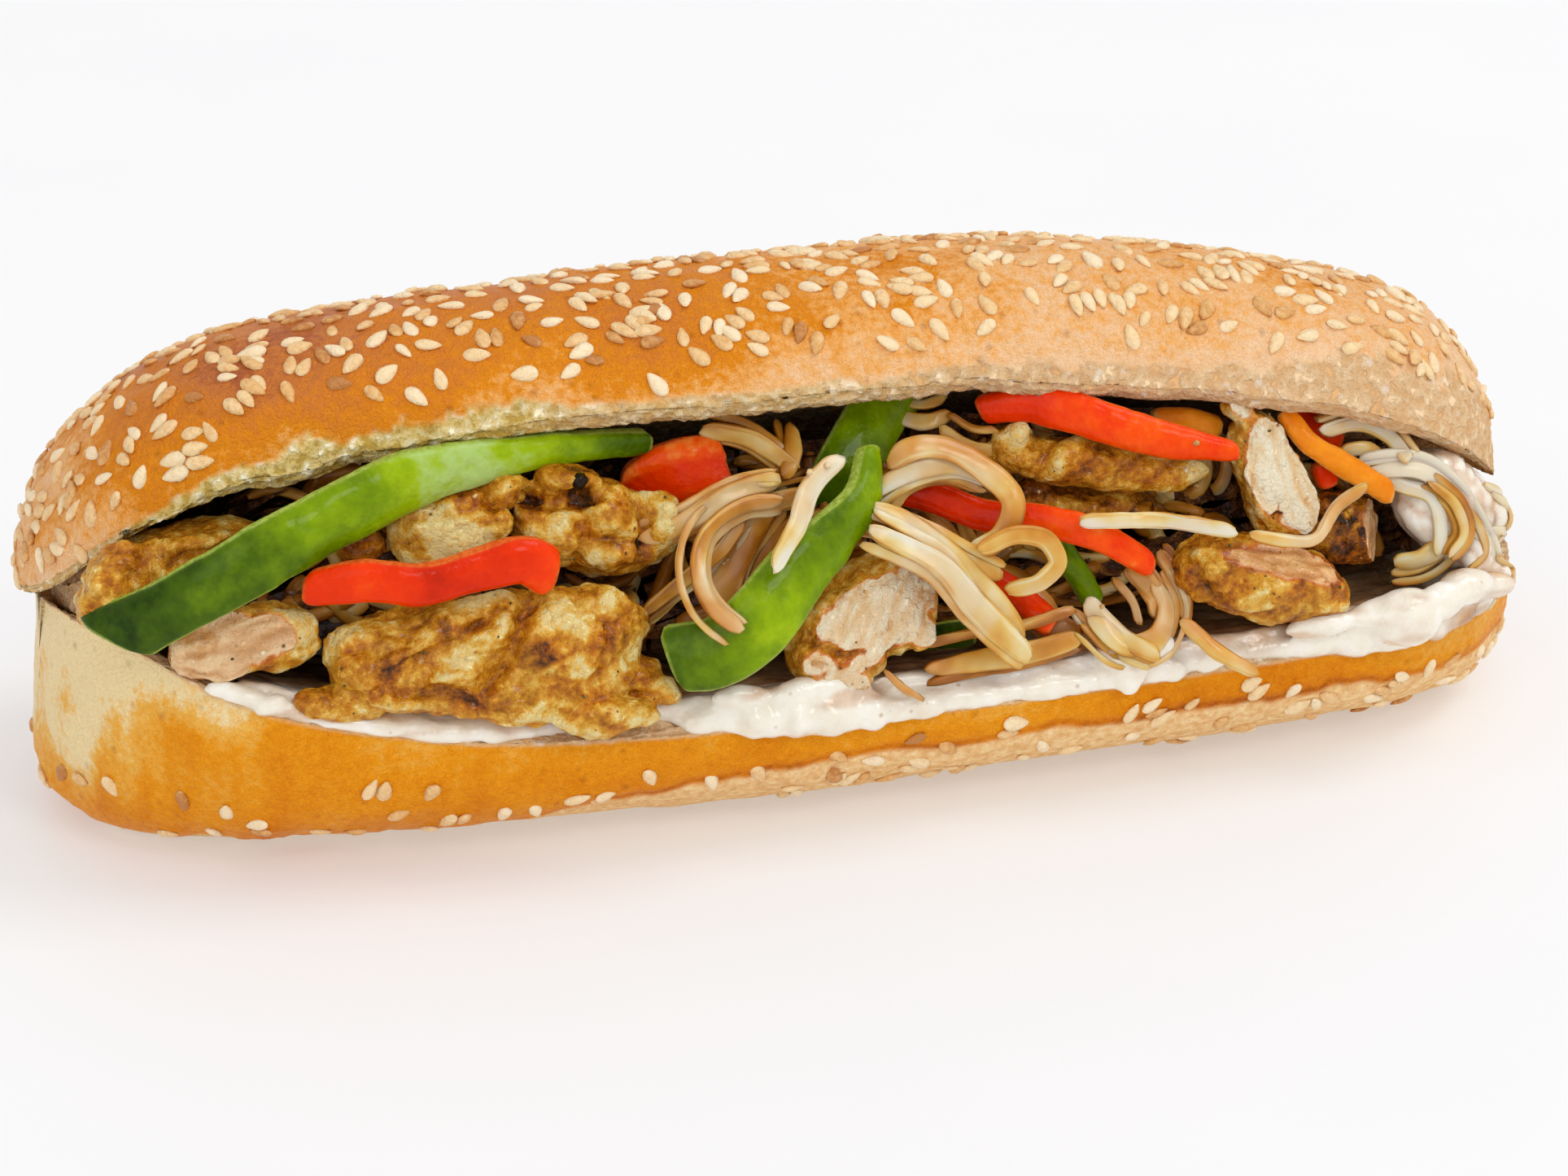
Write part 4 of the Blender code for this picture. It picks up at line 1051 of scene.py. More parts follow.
rosy = ramp(tree, mark(tree, "fibre"), (0.0, "#A8602A"), (0.4, "#DA9450"), (0.8, "#FCC482"))
flesh = blended(tree, mark(tree, "pink"), flesh, rosy)
flesh = blended(tree, between(tree, patches, 0.7, 0.95, 0.0, 0.6), flesh, colour("#D08A35"))
rim = ramp(tree, mark(tree, "cut"), (0.0, "#FFFFFF"), (0.3, "#FFC878"), (0.6, "#F0A040"), (0.9, "#FFFFFF"))
spice = place_group(tree, speckle, Spacing=1.6, Share=0.22, Softness=0.15)
both = blended(tree, between(tree, mark(tree, "cut"), 0.35, 0.8), outside, flesh)
both = blended(tree, 0.75, both, rim, "MULTIPLY")
both = blended(tree, maths(tree, "MULTIPLY", spice, 0.5), both, colour("#6A3E10"))
feed(tree, shader, Base_Color=both)
rough = maths(tree, "MULTIPLY_ADD", fine, 0.3, 0.3)
feed(tree, shader, Roughness=rough)
raise_by(tree, shader, fine, 0.35)

for seed, (name, look) in enumerate(CHUNKS.items()):
    chunk = make_chunk(name, look, seed)
    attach(chunk, "root")
    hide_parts("chicken_" + name)

# ---- Peppers ------------------------------------------------------------------------------------------
# Strips cut from green, red and orange bell peppers, briefly fried. The outer skin is smooth and shiny,
# the cut edges show paler flesh, and the ends are sliced at a slant.

# Each strip: route of (x, v, n) places in the mouth, widths and leans along it, thickness, slants of its
# two ends, and how bright its skin is along it: partly its own tone, partly painted light and shade.
GREEN_STRIPS = {
    "long": (((-92, 18.2, -7), (-86, 21.2, -2), (-77, 25.8, 1.5), (-67, 30, 1), (-56, 33.5, -1.5),
        (-45.5, 34.7, -4), (-35, 34.9, -6), (-25, 34.4, -8.5)), (8, 7.4, 7.8, 7.6, 7.2, 5.2, 3.8, 3),
        (-10, 0, 5, 10, 20), 2.8, (0.9, 0), (0.15, 0.2, 0.42, 0.7, 0.98, 0.6, 0.3)),
    "front": (((1, 31.5, -2), (-1, 26, 1), (-6, 22, 4), (-12, 18, 6), (-16.5, 13.5, 7), (-22, 10, 6),
        (-27.5, 9.5, 4)), (3, 5.4, 7, 8, 8.6, 8.8, 8.2), (-35, -20, 0, 10, 0), 2.6, (0, 0.2),
        (0.62, 0.6, 0.46, 0.5, 0.62, 0.4, 0.26)),
    "back": (((9.4, 38, -13.4), (5.6, 34.4, -11.6), (1.8, 30.6, -9.6), (-1.6, 26.6, -8.8),
        (-3.6, 23.6, -8.8)), (7.4, 7.8, 7.8, 7, 6), (0, 8, 0), 2.4, (0.55, 0), (0.7, 0.62, 0.5, 0.36, 0.2)),
    "dark": (((6.6, 7, -4.5), (10, 7, -4), (13.5, 7, -4)), (3.5, 3.5), (0, 0), 2.2, (0, 0), (0.1, 0.1)),
    "small": (((26, 16.5, -7), (28, 13, -6), (30.5, 8.5, -6)), (3.2, 3.2), (0, 0), 2.2, (0.2, 0.2),
        (0.3, 0.5)),
}
RED_STRIPS = {
    "band": (((-70, 22.5, 1), (-64, 23, 4), (-56.5, 22, 5), (-49.5, 23, 5), (-44.5, 23.5, 5), (-41, 21.5, 4)),
        (4, 5.3, 5.2, 5, 5.6, 6.2), (0, 15, 15, 0), 2.8, (-0.3, 0.2), (0.55, 0.64, 0.34, 0.42, 0.8)),
    "folded": (((-28, 28.5, -12.5), (-24, 29.6, -10.4), (-20, 30, -8.8), (-15.2, 29.8, -8.6)),
        (5, 7.8, 9, 9.4), (24, 6, -14), 2.4, (-0.5, 0.1), (0.52, 0.6, 0.7, 0.66)),
    "centre": (((2.5, 26, -8), (9, 24.5, -6), (15.5, 21.5, -4), (22, 20.5, -1), (28, 18.5, 1),
        (35.5, 13.5, 1)), (3, 4, 4, 4, 3.8, 3), (0, 0), 2.4, (0, 0.3), (0.3, 0.5, 0.8, 0.7)),
    "low": (((13.5, 15, -5), (18.5, 12, -4), (23, 7, -1)), (3, 3.5, 3.5), (0, 0), 2.2, (0, 0.2), (0.5, 0.8)),
    "long": (((17.5, 34, -8), (23.5, 34.5, -5), (31, 31.8, -2), (39, 28.8, -1), (48, 26.5, 0.5)),
        (3.5, 5.3, 5.2, 4.6, 2.4), (0, 0), 2.4, (0.3, 0.3), (0.5, 0.75, 0.9, 0.8)),
    "right": (((58.5, 28.8, -10), (62.5, 27.3, -9.5), (66, 25.6, -9.5)), (4, 4), (0, 0), 2.2, (0, 0.2),
        (0.4, 0.7)),
    "small": (((62, 23, -7), (63.2, 19.8, -7)), (3, 3), (0, 0), 2, (0, 0), (0.6, 0.6)),
}
ORANGE_STRIPS = {
    "top": (((40.5, 30.3, -9), (45.5, 29.8, -9), (49.5, 28.4, -9.2)), (3, 3), (0, 0), 2, (0, 0), (0.3, 0.8)),
    "right": (((57, 30, -6), (59.5, 26, -4), (63.5, 23, -3.5), (70, 18.3, -3.5)), (2.4, 3.2, 3), (0, 0), 1.8,
        (0, 0.4), (0.5, 0.7, 0.6)),
}
END_ROUND = 1.3            # length over which the corners of a strip's ends round off


def row_at(row, t):
    """A row of values spread evenly from 0 to 1, read at places t."""
    return np.interp(t, np.linspace(0, 1, len(row)), row)


def strip_grid(route, width, lean, thick, slants=(0.0, 0.0), step=0.5, sides=32, arch=0.1, power=0.55,
               facing=OUTWARD):
    """Rings of a strip along a route, with lengths along it and shares across and through it."""
    points = mouth(*np.array(route, float).T)
    lengths = np.concatenate(([0], np.cumsum(np.linalg.norm(np.diff(points, axis=0), axis=1))))
    total = lengths[-1]
    t = np.linspace(0, 1, max(int(total / step) + 1, 8))
    here = curve(lengths, points, t * total)
    ahead = (curve(lengths, points, np.minimum(t + 0.02, 1) * total)
             - curve(lengths, points, np.maximum(t - 0.02, 0) * total))
    ahead /= np.linalg.norm(ahead, axis=1, keepdims=True)
    face = facing - ahead * (ahead @ facing)[:, None]
    face /= np.linalg.norm(face, axis=1, keepdims=True)
    across = np.cross(ahead, face)
    angle = np.radians(row_at(lean, t))[:, None]
    flat = across * np.cos(angle) - face * np.sin(angle)
    above = face * np.cos(angle) + across * np.sin(angle)
    around = 2 * np.pi * (np.arange(sides) + 0.5) / sides
    share = np.broadcast_to(signed_power(np.cos(around), power), (len(t), sides))
    through = np.broadcast_to(signed_power(np.sin(around), power), (len(t), sides))
    half = row_at(width, t)[:, None] / 2
    to_end = np.minimum(t, 1 - t)[:, None] * total
    half = half * (0.7 + 0.3 * np.sqrt(1 - np.clip(1 - to_end / END_ROUND, 0, 1) ** 2))
    near_start = np.clip(1 - t * total / (2 * half[:, 0]), 0, 1)[:, None]
    near_end = np.clip(1 - (1 - t) * total / (2 * half[:, 0]), 0, 1)[:, None]
    slanted = share * half * (slants[0] * near_start + slants[1] * near_end)
    humped = through * thick / 2 + arch * half * (1 - share ** 2) * 2 - arch * half
    grid = (here[:, None] + flat[:, None] * (share * half)[..., None] + above[:, None] * humped[..., None]
            + ahead[:, None] * slanted[..., None])
    return grid, np.broadcast_to((t * total)[:, None], share.shape), share, through


def pepper(name, flesh_stops, *skin_stops):
    """Shiny skin over paler flesh; the skin's colour runs along the strip with its tone and with painted
    light and shade.
    """
    material, tree, shader = food(name, 0.24, Specular_IOR_Level=0.05, Coat_Weight=0.16, Coat_Roughness=0.05,
                                  Subsurface_Weight=0.08, Subsurface_Scale=0.001)
    cloudy = place_group(tree, mottle, Size=3.2, Detail=3.0, Contrast=0.8)
    fine = place_group(tree, mottle, Size=0.6, Detail=3.0, Contrast=1.0)
    bright = maths(tree, "MULTIPLY_ADD", cloudy, 0.3, mark(tree, "bright"))
    bright = maths(tree, "SUBTRACT", bright, 0.15)
    skin = ramp(tree, bright, *skin_stops)
    flesh = ramp(tree, fine, *flesh_stops)
    surface = blended(tree, mark(tree, "flesh"), skin, flesh)
    feed(tree, shader, Base_Color=surface)
    rough = between(tree, mark(tree, "flesh"), 0.0, 1.0, 0.22, 0.5)
    feed(tree, shader, Roughness=rough)
    raise_by(tree, shader, cloudy, 0.35)
    return material


def make_strips(colour_name, material, strips, seed):
    """Every strip of one colour, a little wavy, with its flesh marked on the cut edges and ends."""
    for number, (name, (route, width, lean, thick, slants, bright)) in enumerate(strips.items()):
        grid, lengths, share, through = strip_grid(route, width, lean, thick, slants)
        normals = grid_normals(grid)
        ripple = 0.22 * grain(grid, 5.5, seed + number) + 0.07 * grain(grid, 1.6, seed + number + 9)
        if name == "folded":
            ripple = ripple - 0.5 * np.exp(-((share + 0.3) / 0.12) ** 2)
        grid = grid + normals * ripple[..., None]
        on_edge = np.maximum(step_between(0.92, 0.99, np.abs(share)), step_between(-0.3, -0.7, through))
        on_end = step_between(0.35, 0.0, np.minimum(lengths, lengths.max() - lengths))
        brightness = row_at(bright, lengths / lengths.max()) + 0.18 * grain(grid, 9, seed + number + 18)
        # One edge of the folded strip is painted brighter: a painted highlight where light falls on its fold.
        if name == "folded":
            brightness = brightness + 0.24 * step_between(-0.24, -0.34, share)
        piece = grid_mesh(f"{colour_name}_strip_{name}", grid, material, flesh=np.maximum(on_edge, on_end),
                          bright=brightness)
        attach(piece, "root")
        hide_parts(f"{colour_name}_{name}")


# Skins by tone and painted light: the palest stops paint highlights, the lowest values paint shade as well as
# darker skin.
green_skin = pepper(
    "green pepper", ((0.0, "#7C961E"), (1.0, "#B4C660")),
    (0.0, "#1E3600"), (0.3, "#486400"), (0.6, "#749200"), (0.85, "#98B408"), (1.0, "#A8C46A"))
red_skin = pepper(
    "red pepper", ((0.0, "#D24208"), (1.0, "#EC7A34")),
    (0.0, "#8C1200"), (0.35, "#D82A00"), (0.68, "#EE3800"), (0.88, "#F65406"), (1.0, "#F58A34"))
orange_skin = pepper(
    "orange pepper", ((0.0, "#E08A2A"), (1.0, "#F6BC66")),
    (0.0, "#B8540A"), (0.5, "#E8810F"), (1.0, "#FFA926"))
make_strips("green", green_skin, GREEN_STRIPS, 200)
make_strips("red", red_skin, RED_STRIPS, 240)
make_strips("orange", orange_skin, ORANGE_STRIPS, 280)

# ---- Onion --------------------------------------------------------------------------------------------
# Onion sliced thin and fried soft: pale translucent shreds with amber edges, some of them looped. The
# heap behind the larger pieces is a dark core, browned onion and painted shade, covered in loose shreds,
# and more spill out at the right.

SHOOT_THICK = 0.5
SHRED_THICK = 1.1          # of the shreds that cover the core
LOOSE_THICK = 0.55
SPILL_THICK = 0.6
SHRED_WIDER = 0.92         # share of the widths below that a shred really has
SHRED_ARCH = 0.14
FINE_BUMPS = 0.1
# Each shoot: widths, tone from pale 0 to amber 1, and its route in the mouth.
SHOOTS = {
    "high": ((2.2, 2.6, 1.8), 0.45, ((-18, 35, -9), (-12.5, 33.5, -7), (-7.5, 29.5, -5))),
    "pale": ((2.6, 3, 2.2), 0.1, ((-3, 31, -1), (-7.5, 28.5, 2), (-11.5, 24, 7), (-15.5, 20, 9.8))),
    "low_left": ((1.8, 2.2, 2.2), 0.5, ((-22.5, 25, -4), (-16.5, 28, -4), (-11, 29, -3))),
    "loop_left": ((2.4, 2.4), 0.5, ((-11, 26.5, 0), (-15.5, 26.5, 0), (-21, 23.5, 1), (-23, 19.5, 4),
        (-22.5, 15.5, 8.5), (-20, 13, 10.5))),
    "loop_big": ((3.2, 3.6, 3), 0.5, ((3, 29.5, -1), (5, 31, 0), (10, 31, 0), (14.5, 28, 1), (17.5, 23.5, 3),
        (16, 20, 3), (11, 17.5, 2))),
    "loop_inner": ((2, 2.4), 0.5, ((3.5, 23.5, -3), (6, 26, -3), (10.5, 27, -2), (14.5, 25.5, -1))),
    "loop_small": ((2.2, 2.6, 2.2), 0.45, ((12, 18.5, 5), (16.5, 20, 5.5), (21, 18.5, 5), (22, 16, 5),
        (20, 14, 5), (15.5, 13, 4))),
    "stalk": ((2.4, 2.8, 3.6, 3.8, 2.6), 0.25, ((-1.5, 22.5, 4), (2, 20.5, 5), (6.5, 17.5, 6),
        (10.5, 12, 6.5), (14.5, 7.5, 6), (17.5, 4.5, 5))),
    "stick": ((2.2, 2.2), 0.12, ((25.5, 20.5, 4), (36, 19.5, 4), (46, 17, 3.5))),
    "curl": ((2, 2), 0.4, ((48, 16.3, 3), (52, 15.3, 3.5), (56.5, 14.8, 3), (61, 18.5, 1),
        (64.5, 20.5, 1.5))),
    "rim": ((1.8, 2.4, 1.8), 0.45, ((38, 7, 4), (41, 3.5, 6), (46.5, -0.5, 7))),
    "petal": ((2.8, 3, 2.4), 0.35, ((27, 10, 0), (30.5, 5.5, 2), (34.5, 3, 5))),
    "amber": ((3, 3.2), 0.6, ((34.5, 13, -3), (36.5, 9.5, -1), (37, 6.5, 0))),
    "arch": ((2, 2.2), 0.1, ((61.5, 27, -5), (67.5, 27.3, -6), (71, 25.5, -6), (72.5, 22.5, -3))),
}
LOOSE_SHOOTS = (
    ((2.4, 3, 2.6), 0.45, ((-28, 23, -3), (-22, 25.4, -1), (-16.7, 28, -1), (-10.5, 29, -2))),
    ((1.6, 2, 1.8), 0.55, ((-28.4, 14, -4), (-23.3, 17.6, -3), (-18.2, 21.2, -2), (-15.5, 24.4, -2))),
    ((3, 4.6, 4), 0.65, ((-10.5, 26, -4), (-14.5, 22.5, -3.5), (-17.5, 18, -3), (-18.5, 14, -2.5))),
    ((2.4, 3.2, 2.4), 0.6, ((-20.5, 21.5, -4), (-17, 23.5, -3.5), (-12, 25.5, -4), (-6, 26.5, -4))),
    ((2.2, 3, 2.6), 0.3, ((0.5, 26.2, -1), (6, 28.4, -0.5), (11.5, 28.6, -0.5), (16, 26.6, 0))),
    ((2.6, 3.2, 2.6), 0.45, ((2.6, 21.5, 2.5), (7, 19.4, 3), (11.5, 16.8, 3), (15.5, 14.8, 2.5))),
    ((2.4, 3.4, 2.8), 0.3, ((-1.3, 25, 2), (3.6, 22.8, 3), (8.6, 18.4, 4.2), (13.8, 12.2, 4.4),
        (17, 6.8, 4.6))),
    ((3.4, 5, 3.6), 0.85, ((17.5, 12.5, -5), (21, 10.5, -4), (23.5, 7, -3), (26.5, 5, -2))),
    ((2.2, 3.4, 2.6), 0.5, ((6, 3.6, 0), (12, 4.2, 0.6), (18.5, 4.4, 0.8), (26, 5.6, 0.4))),
    ((2.4, 3.6, 2.4), 0.4, ((36.5, 11.5, -2), (37.6, 8, 0), (35.4, 4.6, 2), (31, 4.4, 2.6),
        (27.2, 8.2, 1.2))),
    ((2, 3, 2.2), 0.7, ((38.5, 14.5, -4), (40.5, 10, -2), (40, 6, -0.5))),
    ((1.8, 2.4, 2), 0.55, ((12.5, 32, -9), (15.5, 29.5, -7), (18.6, 28.8, -6))),
    ((1.8, 2.4, 1.8), 0.25, ((7.5, 34, -12), (11, 33, -10), (14.5, 33.5, -10))),
    ((1.8, 2.6, 2), 0.7, ((-6.5, 34.5, -9), (-7.5, 31.5, -6), (-9, 28.5, -4.5))),
    ((0.9, 1.1, 0.8), 0.5, ((-0.4, 4.8, 2.8), (1.6, 2.6, 3.4), (4.4, 0.6, 2.6))),
)
END_SHREDS = (
    ((2, 2.4, 2), 0.1, ((67, 20.9, -5), (70.6, 21.4, -4), (74, 21, -3.4), (78, 18, -3.4), (81, 13.8, -3.4),
        (83.6, 8.6, -3.6))),
    ((2, 2.4, 2), 0.3, ((68.6, 21.3, -5.4), (72, 19.2, -4.4), (75.6, 17.6, -3.6), (76.6, 13.4, -3.4),
        (76.2, 10, -3.6))),
    ((2.6, 3, 2.4), 0.5, ((71, 9.2, -6), (74.2, 9.4, -5), (77.4, 11.4, -4.6), (79, 14.6, -4.8))),
    ((1.2, 1.6, 1.2), 0.8, ((75, 19.6, -2.8), (78.4, 16, -2.4), (79.2, 12.4, -2.4), (77, 9.8, -2.6))),
    ((1, 1.3, 1), 0.85, ((78.4, 17.4, -3.4), (81.6, 13.2, -3), (82.2, 9.4, -3), (80, 7.6, -3.2))),
    ((0.9, 1.2, 0.8), 0.8, ((79, 17.8, -4.8), (82.6, 13.2, -4.6), (84, 9.6, -4.8), (84.4, 6.4, -5.2))),
    ((1.8, 2.2, 1.6), 0.5, ((64.6, 24.2, -6.4), (68.4, 24, -6), (71, 21.6, -5.8))),
)
END_LUMPS = (((84.6, 6, -5.6), (2.6, 2.2, 2), -20), ((73.4, 20.4, -7.5), (2.6, 2.2, 3), 0),
             ((82, 9, -4.6), (2.4, 2.8, 2), 0), ((83, 12, -9), (3.4, 5, 4.5), 0),
             ((84, 11, -14), (3.4, 6.5, 5.5), 0), ((83.6, 10, -22), (3.4, 6.5, 6), 0),
             ((82.6, 9, -31), (3.4, 6, 6.5), 0), ((82.6, 15.5, -15), (3, 3, 5), 0),
             ((82.5, 3.5, -8.5), (3, 3, 4), 0), ((82, 4, -15.5), (3, 3, 4.5), 0),
             ((80, 7, -36), (3, 5, 4), 0), ((80.6, 15.6, -36), (3, 5, 5), 0),
             ((81.6, 15.4, -27), (3, 4.4, 5), 0))
END_COUNT = 64             # shreds laid over the spill's right-hand side
END_SPACE = (2.0, 18.0, -40.0, -7.0)       # lowest, highest, furthest back and foremost of them
END_COMPANIONS = 14
END_PALER = 0.36           # how much paler the shreds in front of the spill are than their tones
MASS_SOFT = 4
CORE_SHRINK = 2.2
CORE_END = 76.0            # where the core stops at the right, behind the spill
HEAP_SHREDS = 200
HEAP_SPACE = (-88.0, 79.0, 4.0, 33.0)      # left, right, lowest and highest of the heap's shreds
HEAP_DEPTHS = (-16, 2)     # how far back and how far out they may lie
THIN_SHOOTS = 40
SINGLE_SHOOTS = ("rim", "stick", "pale", "curl", "loop_small", "loop_big")     # those with no thin one beside
LAID_PLACES = 7            # places along each shred that is laid on a surface
FAR_OUT = 20.0             # out of the mouth, in front of everything
FAR_RIGHT = 98.0


def onion_material(name, *stops):
    """Pale flesh that turns amber by tone and along its edges, with veins along each shred."""
    material, tree, shader = food(name, 0.3, Specular_IOR_Level=0.2, Subsurface_Weight=0.35,
                                  Subsurface_Scale=0.002, Coat_Weight=0.3, Coat_Roughness=0.1,
                                  Transmission_Weight=0.18)
    shader.inputs["Subsurface Radius"].default_value = (1.0, 0.6, 0.3)
    cloudy = place_group(tree, mottle, Size=5.0, Detail=2.0, Contrast=1.0)
    tone = maths(tree, "MULTIPLY_ADD", cloudy, 0.3, mark(tree, "tone"))
    tone = maths(tree, "SUBTRACT", tone, 0.15)
    tan = ramp(tree, tone, (0.0, "#F9E6C8"), (0.35, "#F2CC94"), (0.7, "#DF9C4A"), (1.0, "#B0681A"))
    broad = place_group(tree, mottle, Size=11.0, Detail=2.0, Contrast=1.6)
    flesh = blended(tree, between(tree, broad, 0.5, 0.8), ramp(tree, tone, *stops), tan)
    feed(tree, shader, Base_Color=flesh)
    raise_by(tree, shader, mark(tree, "vein"), 0.2)
    return material


def shred_marks(lengths, share, tone, seed):
    """Tone and veins of a shred: amber along one side and at the cut edges, and lines that run its length."""
    veins = grain(np.stack((lengths / 9, share * 4.4, np.full(share.shape, seed * 3.1)), -1), 1.0, seed, 2)
    cloudy = grain(np.stack((lengths, share * 1.2, np.full(share.shape, seed * 1.7)), -1), 4.0, seed + 7)
    browner = 1 if seed % 2 else -1
    edges = np.abs(share) ** 6
    ends = np.abs(2 * lengths / lengths.max() - 1) ** 6
    browned = 0.14 * share * browner + 0.2 * edges + 0.04 * ends + 0.36 * veins + 0.16 * cloudy
    return {"tone": tone + browned + 0.04, "vein": 0.5 + 0.6 * veins}


def tapered(width):
    """Widths along a shred that narrows at its two ends."""
    t = np.linspace(0, 1, 21)
    narrow = np.clip(np.minimum(t, 1 - t) / 0.07, 0, 1) ** 0.6
    return tuple(np.interp(t, np.linspace(0, 1, len(width)), width) * SHRED_WIDER * (0.62 + 0.38 * narrow))


def twist(seed):
    """Leans in degrees along a shred, so that it shows its face here and its edge there."""
    return tuple(np.random.default_rng(seed + 500).uniform(-30, 30, 4))


def slant(seed):
    """How far the two ends of a shred are cut aslant."""
    return tuple(np.random.default_rng(seed + 600).uniform(-0.9, 0.9, 2))


def ribs(share, seed):
    """Ridges that run along a shred, from -1 to 1."""
    return np.cos(share * (6.0 + seed % 3 * 1.5) + seed)


def companions(routes, count, rng):
    """Thin shreds that run beside the given ones, each with its widths, tone and route."""
    made = []
    for number in range(count):
        width, tone, route = routes[number % len(routes)]
        route = np.array(route, float)
        ahead = np.gradient(route, axis=0)[:, :2]
        ahead /= np.linalg.norm(ahead, axis=1, keepdims=True)
        aside = rng.uniform(0.5, 0.95) * rng.choice((-1, 1)) * max(width)
        tilted = np.linspace(rng.uniform(0.7, 1.2), rng.uniform(0.2, 1.3), len(route))[:, None] * aside
        route[:, :2] += np.stack((ahead[:, 1], -ahead[:, 0]), -1) * tilted
        route[:, 2] -= rng.uniform(0.3, 1.5)
        thin = rng.uniform(0.9, 1.5)
        widths = (thin, thin * rng.uniform(0.8, 1.3))
        made.append((widths, tone + rng.uniform(-0.1, 0.35), tuple(map(tuple, route))))
    return tuple(made)


def shred(route, width, leans, thick, slants, tone, seed, ribbed=None, **build):
    """A shred's grid and its marks. ribbed gives the depth of its ribs, and seeds for them and for bumps."""
    grid, lengths, share, _ = strip_grid(route, tapered(width), leans, thick, slants, arch=SHRED_ARCH,
                                         **build)
    if ribbed:
        depth, rib_seed, bump_seed = ribbed
        bumps = FINE_BUMPS * grain(grid, 2.5, bump_seed) + depth * ribs(share, rib_seed)
        grid = grid + grid_normals(grid) * bumps[..., None]
    return grid, shred_marks(lengths, share, tone, seed)


def first_hit(trees, start, way):
    """The first place met from a start in the roll's frame in a direction, or None."""
    hits = [tree.ray_cast(Vector(in_scene(start)), Vector(way)) for tree in trees]
    hits = [hit for hit in hits if hit[0] is not None]
    return np.array(min(hits, key=lambda hit: hit[3])[0]) / MM - roll_origin if hits else None


def laid_route(a, b, heading, bend, step, touch):
    """Places touched on the way from (a, b) in a heading that bends, or None where nothing lies under it."""
    route = []
    for _ in range(LAID_PLACES):
        place = touch(a, b)
        if place is None:
            return None
        route.append(place)
        a += math.cos(heading) * step
        b += math.sin(heading) * step
        heading += bend * step
    return route


fried_onion = onion_material("fried onion", (0.0, "#FAECD2"), (0.22, "#F7DB9E"), (0.45, "#EFBE62"),
                             (0.7, "#DC9630"), (1.0, "#AE6A10"))
for seed, (name, (width, tone, route)) in enumerate(SHOOTS.items()):
    grid, marks = shred(route, width, twist(seed), SHOOT_THICK, slant(seed), tone, seed, (0.07, seed, seed),
                        step=0.4, sides=32, power=0.3)
    shoot = grid_mesh("onion_shoot_" + name, grid, fried_onion, **marks)
    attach(shoot, "root")
    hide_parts("onion_" + name)

# The core of the heap, drawn in from its solid so that the shreds lie within the heap's outline
# The core's near-black to brown is partly browned onion and partly painted shade in the gaps between pieces.
dark, tree, shader = food("browned onion and painted shade", 0.4, Coat_Weight=0.3, Coat_Roughness=0.2)
murk = place_group(tree, mottle, Size=2.2, Detail=4.0, Contrast=1.4)
onion_and_shade_colour = ramp(tree, murk, (0.0, "#2A1404"), (0.5, "#5E320C"), (1.0, "#925E1C"))
feed(tree, shader, Base_Color=onion_and_shade_colour)
raise_by(tree, shader, murk, 0.8)
edit = bmesh.new()
edit.from_mesh(frame["nodes"]["onion_heap"].data)
bmesh.ops.subdivide_edges(edit, edges=edit.edges, cuts=3, use_grid_fill=True)
edit.normal_update()
core_mesh = mesh_of("onion_core", edit)
places, normals = points_of(core_mesh)
sunk = 0.9 * grain(places, (5, 3, 3), 61) - CORE_SHRINK
places = places + normals * sunk[:, None]
places[:, 0] = np.minimum(places[:, 0], CORE_END + 0.1 * (places[:, 0] - CORE_END))
move_points(core_mesh, places)
core = mesh_piece(core_mesh, dark)
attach(core, "root")
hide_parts("onion_heap")

rng = np.random.default_rng(99)
core_tree = surface_tree(core)


def on_core(x, v):
    """Place in the mouth's frame where the core is foremost."""
    place = first_hit([core_tree], mouth(x, v, FAR_OUT), -OUTWARD)
    return None if place is None else (x, v, (place - mouth(0, 0, 0)) @ OUTWARD)


parts = []
while len(parts) < HEAP_SHREDS:
    x, v = rng.uniform(*HEAP_SPACE[:2]), rng.uniform(*HEAP_SPACE[2:])
    heading, bend, length = rng.normal(-0.5, 0.9), rng.normal(0, 0.13), rng.uniform(6, 18)
    route = laid_route(x, v, heading, bend, length / (LAID_PLACES - 1), on_core)
    if route is None:
        continue
    route = np.array(route)
    depths = np.convolve(np.pad(route[:, 2], 1, "edge"), (0.25, 0.5, 0.25), "valid")
    route[:, 2] = np.clip(depths, *HEAP_DEPTHS) + 0.7
    width = rng.uniform(1.2, 2.4)
    parts.append(shred(route, (width, width * rng.uniform(0.8, 1.3)), tuple(rng.normal(0, 16, 3)),
                       SHRED_THICK,
                       (0.0, 0.0), rng.uniform(0.35, 1.0), len(parts), step=0.8, sides=12, power=0.8))
beside = [shoot for name, shoot in SHOOTS.items() if name not in SINGLE_SHOOTS] + list(LOOSE_SHOOTS[:-1])
for seed, (width, tone, route) in enumerate(LOOSE_SHOOTS + companions(beside, THIN_SHOOTS, rng)):
    parts.append(shred(route, width, twist(seed + 20), LOOSE_THICK, slant(seed + 20), tone, seed + 50,
                       (0.05, seed, seed + 30), step=0.55, sides=16, power=0.3))
shreds = grids_mesh("onion_shreds", parts, fried_onion)
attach(shreds, "root")

# The spill at the right: onion folded into sauce, with shreds lying over it
edit = bmesh.new()
edit.from_mesh(frame["nodes"]["onion_end_bundle"].data)
for at, half, spin in END_LUMPS:
    add_ball(edit, mouth(*at), half, spin)
mass_mesh = melted("creamy_onion", edit, SAUCE_VOXEL, MASS_SOFT)
places, normals = points_of(mass_mesh)
folds = np.abs(grain(places, (4, 7, 4), 71, 2)) - 0.3
move_points(mass_mesh, places + normals * (0.6 * folds + 0.12 * grain(places, 1.6, 72))[:, None])
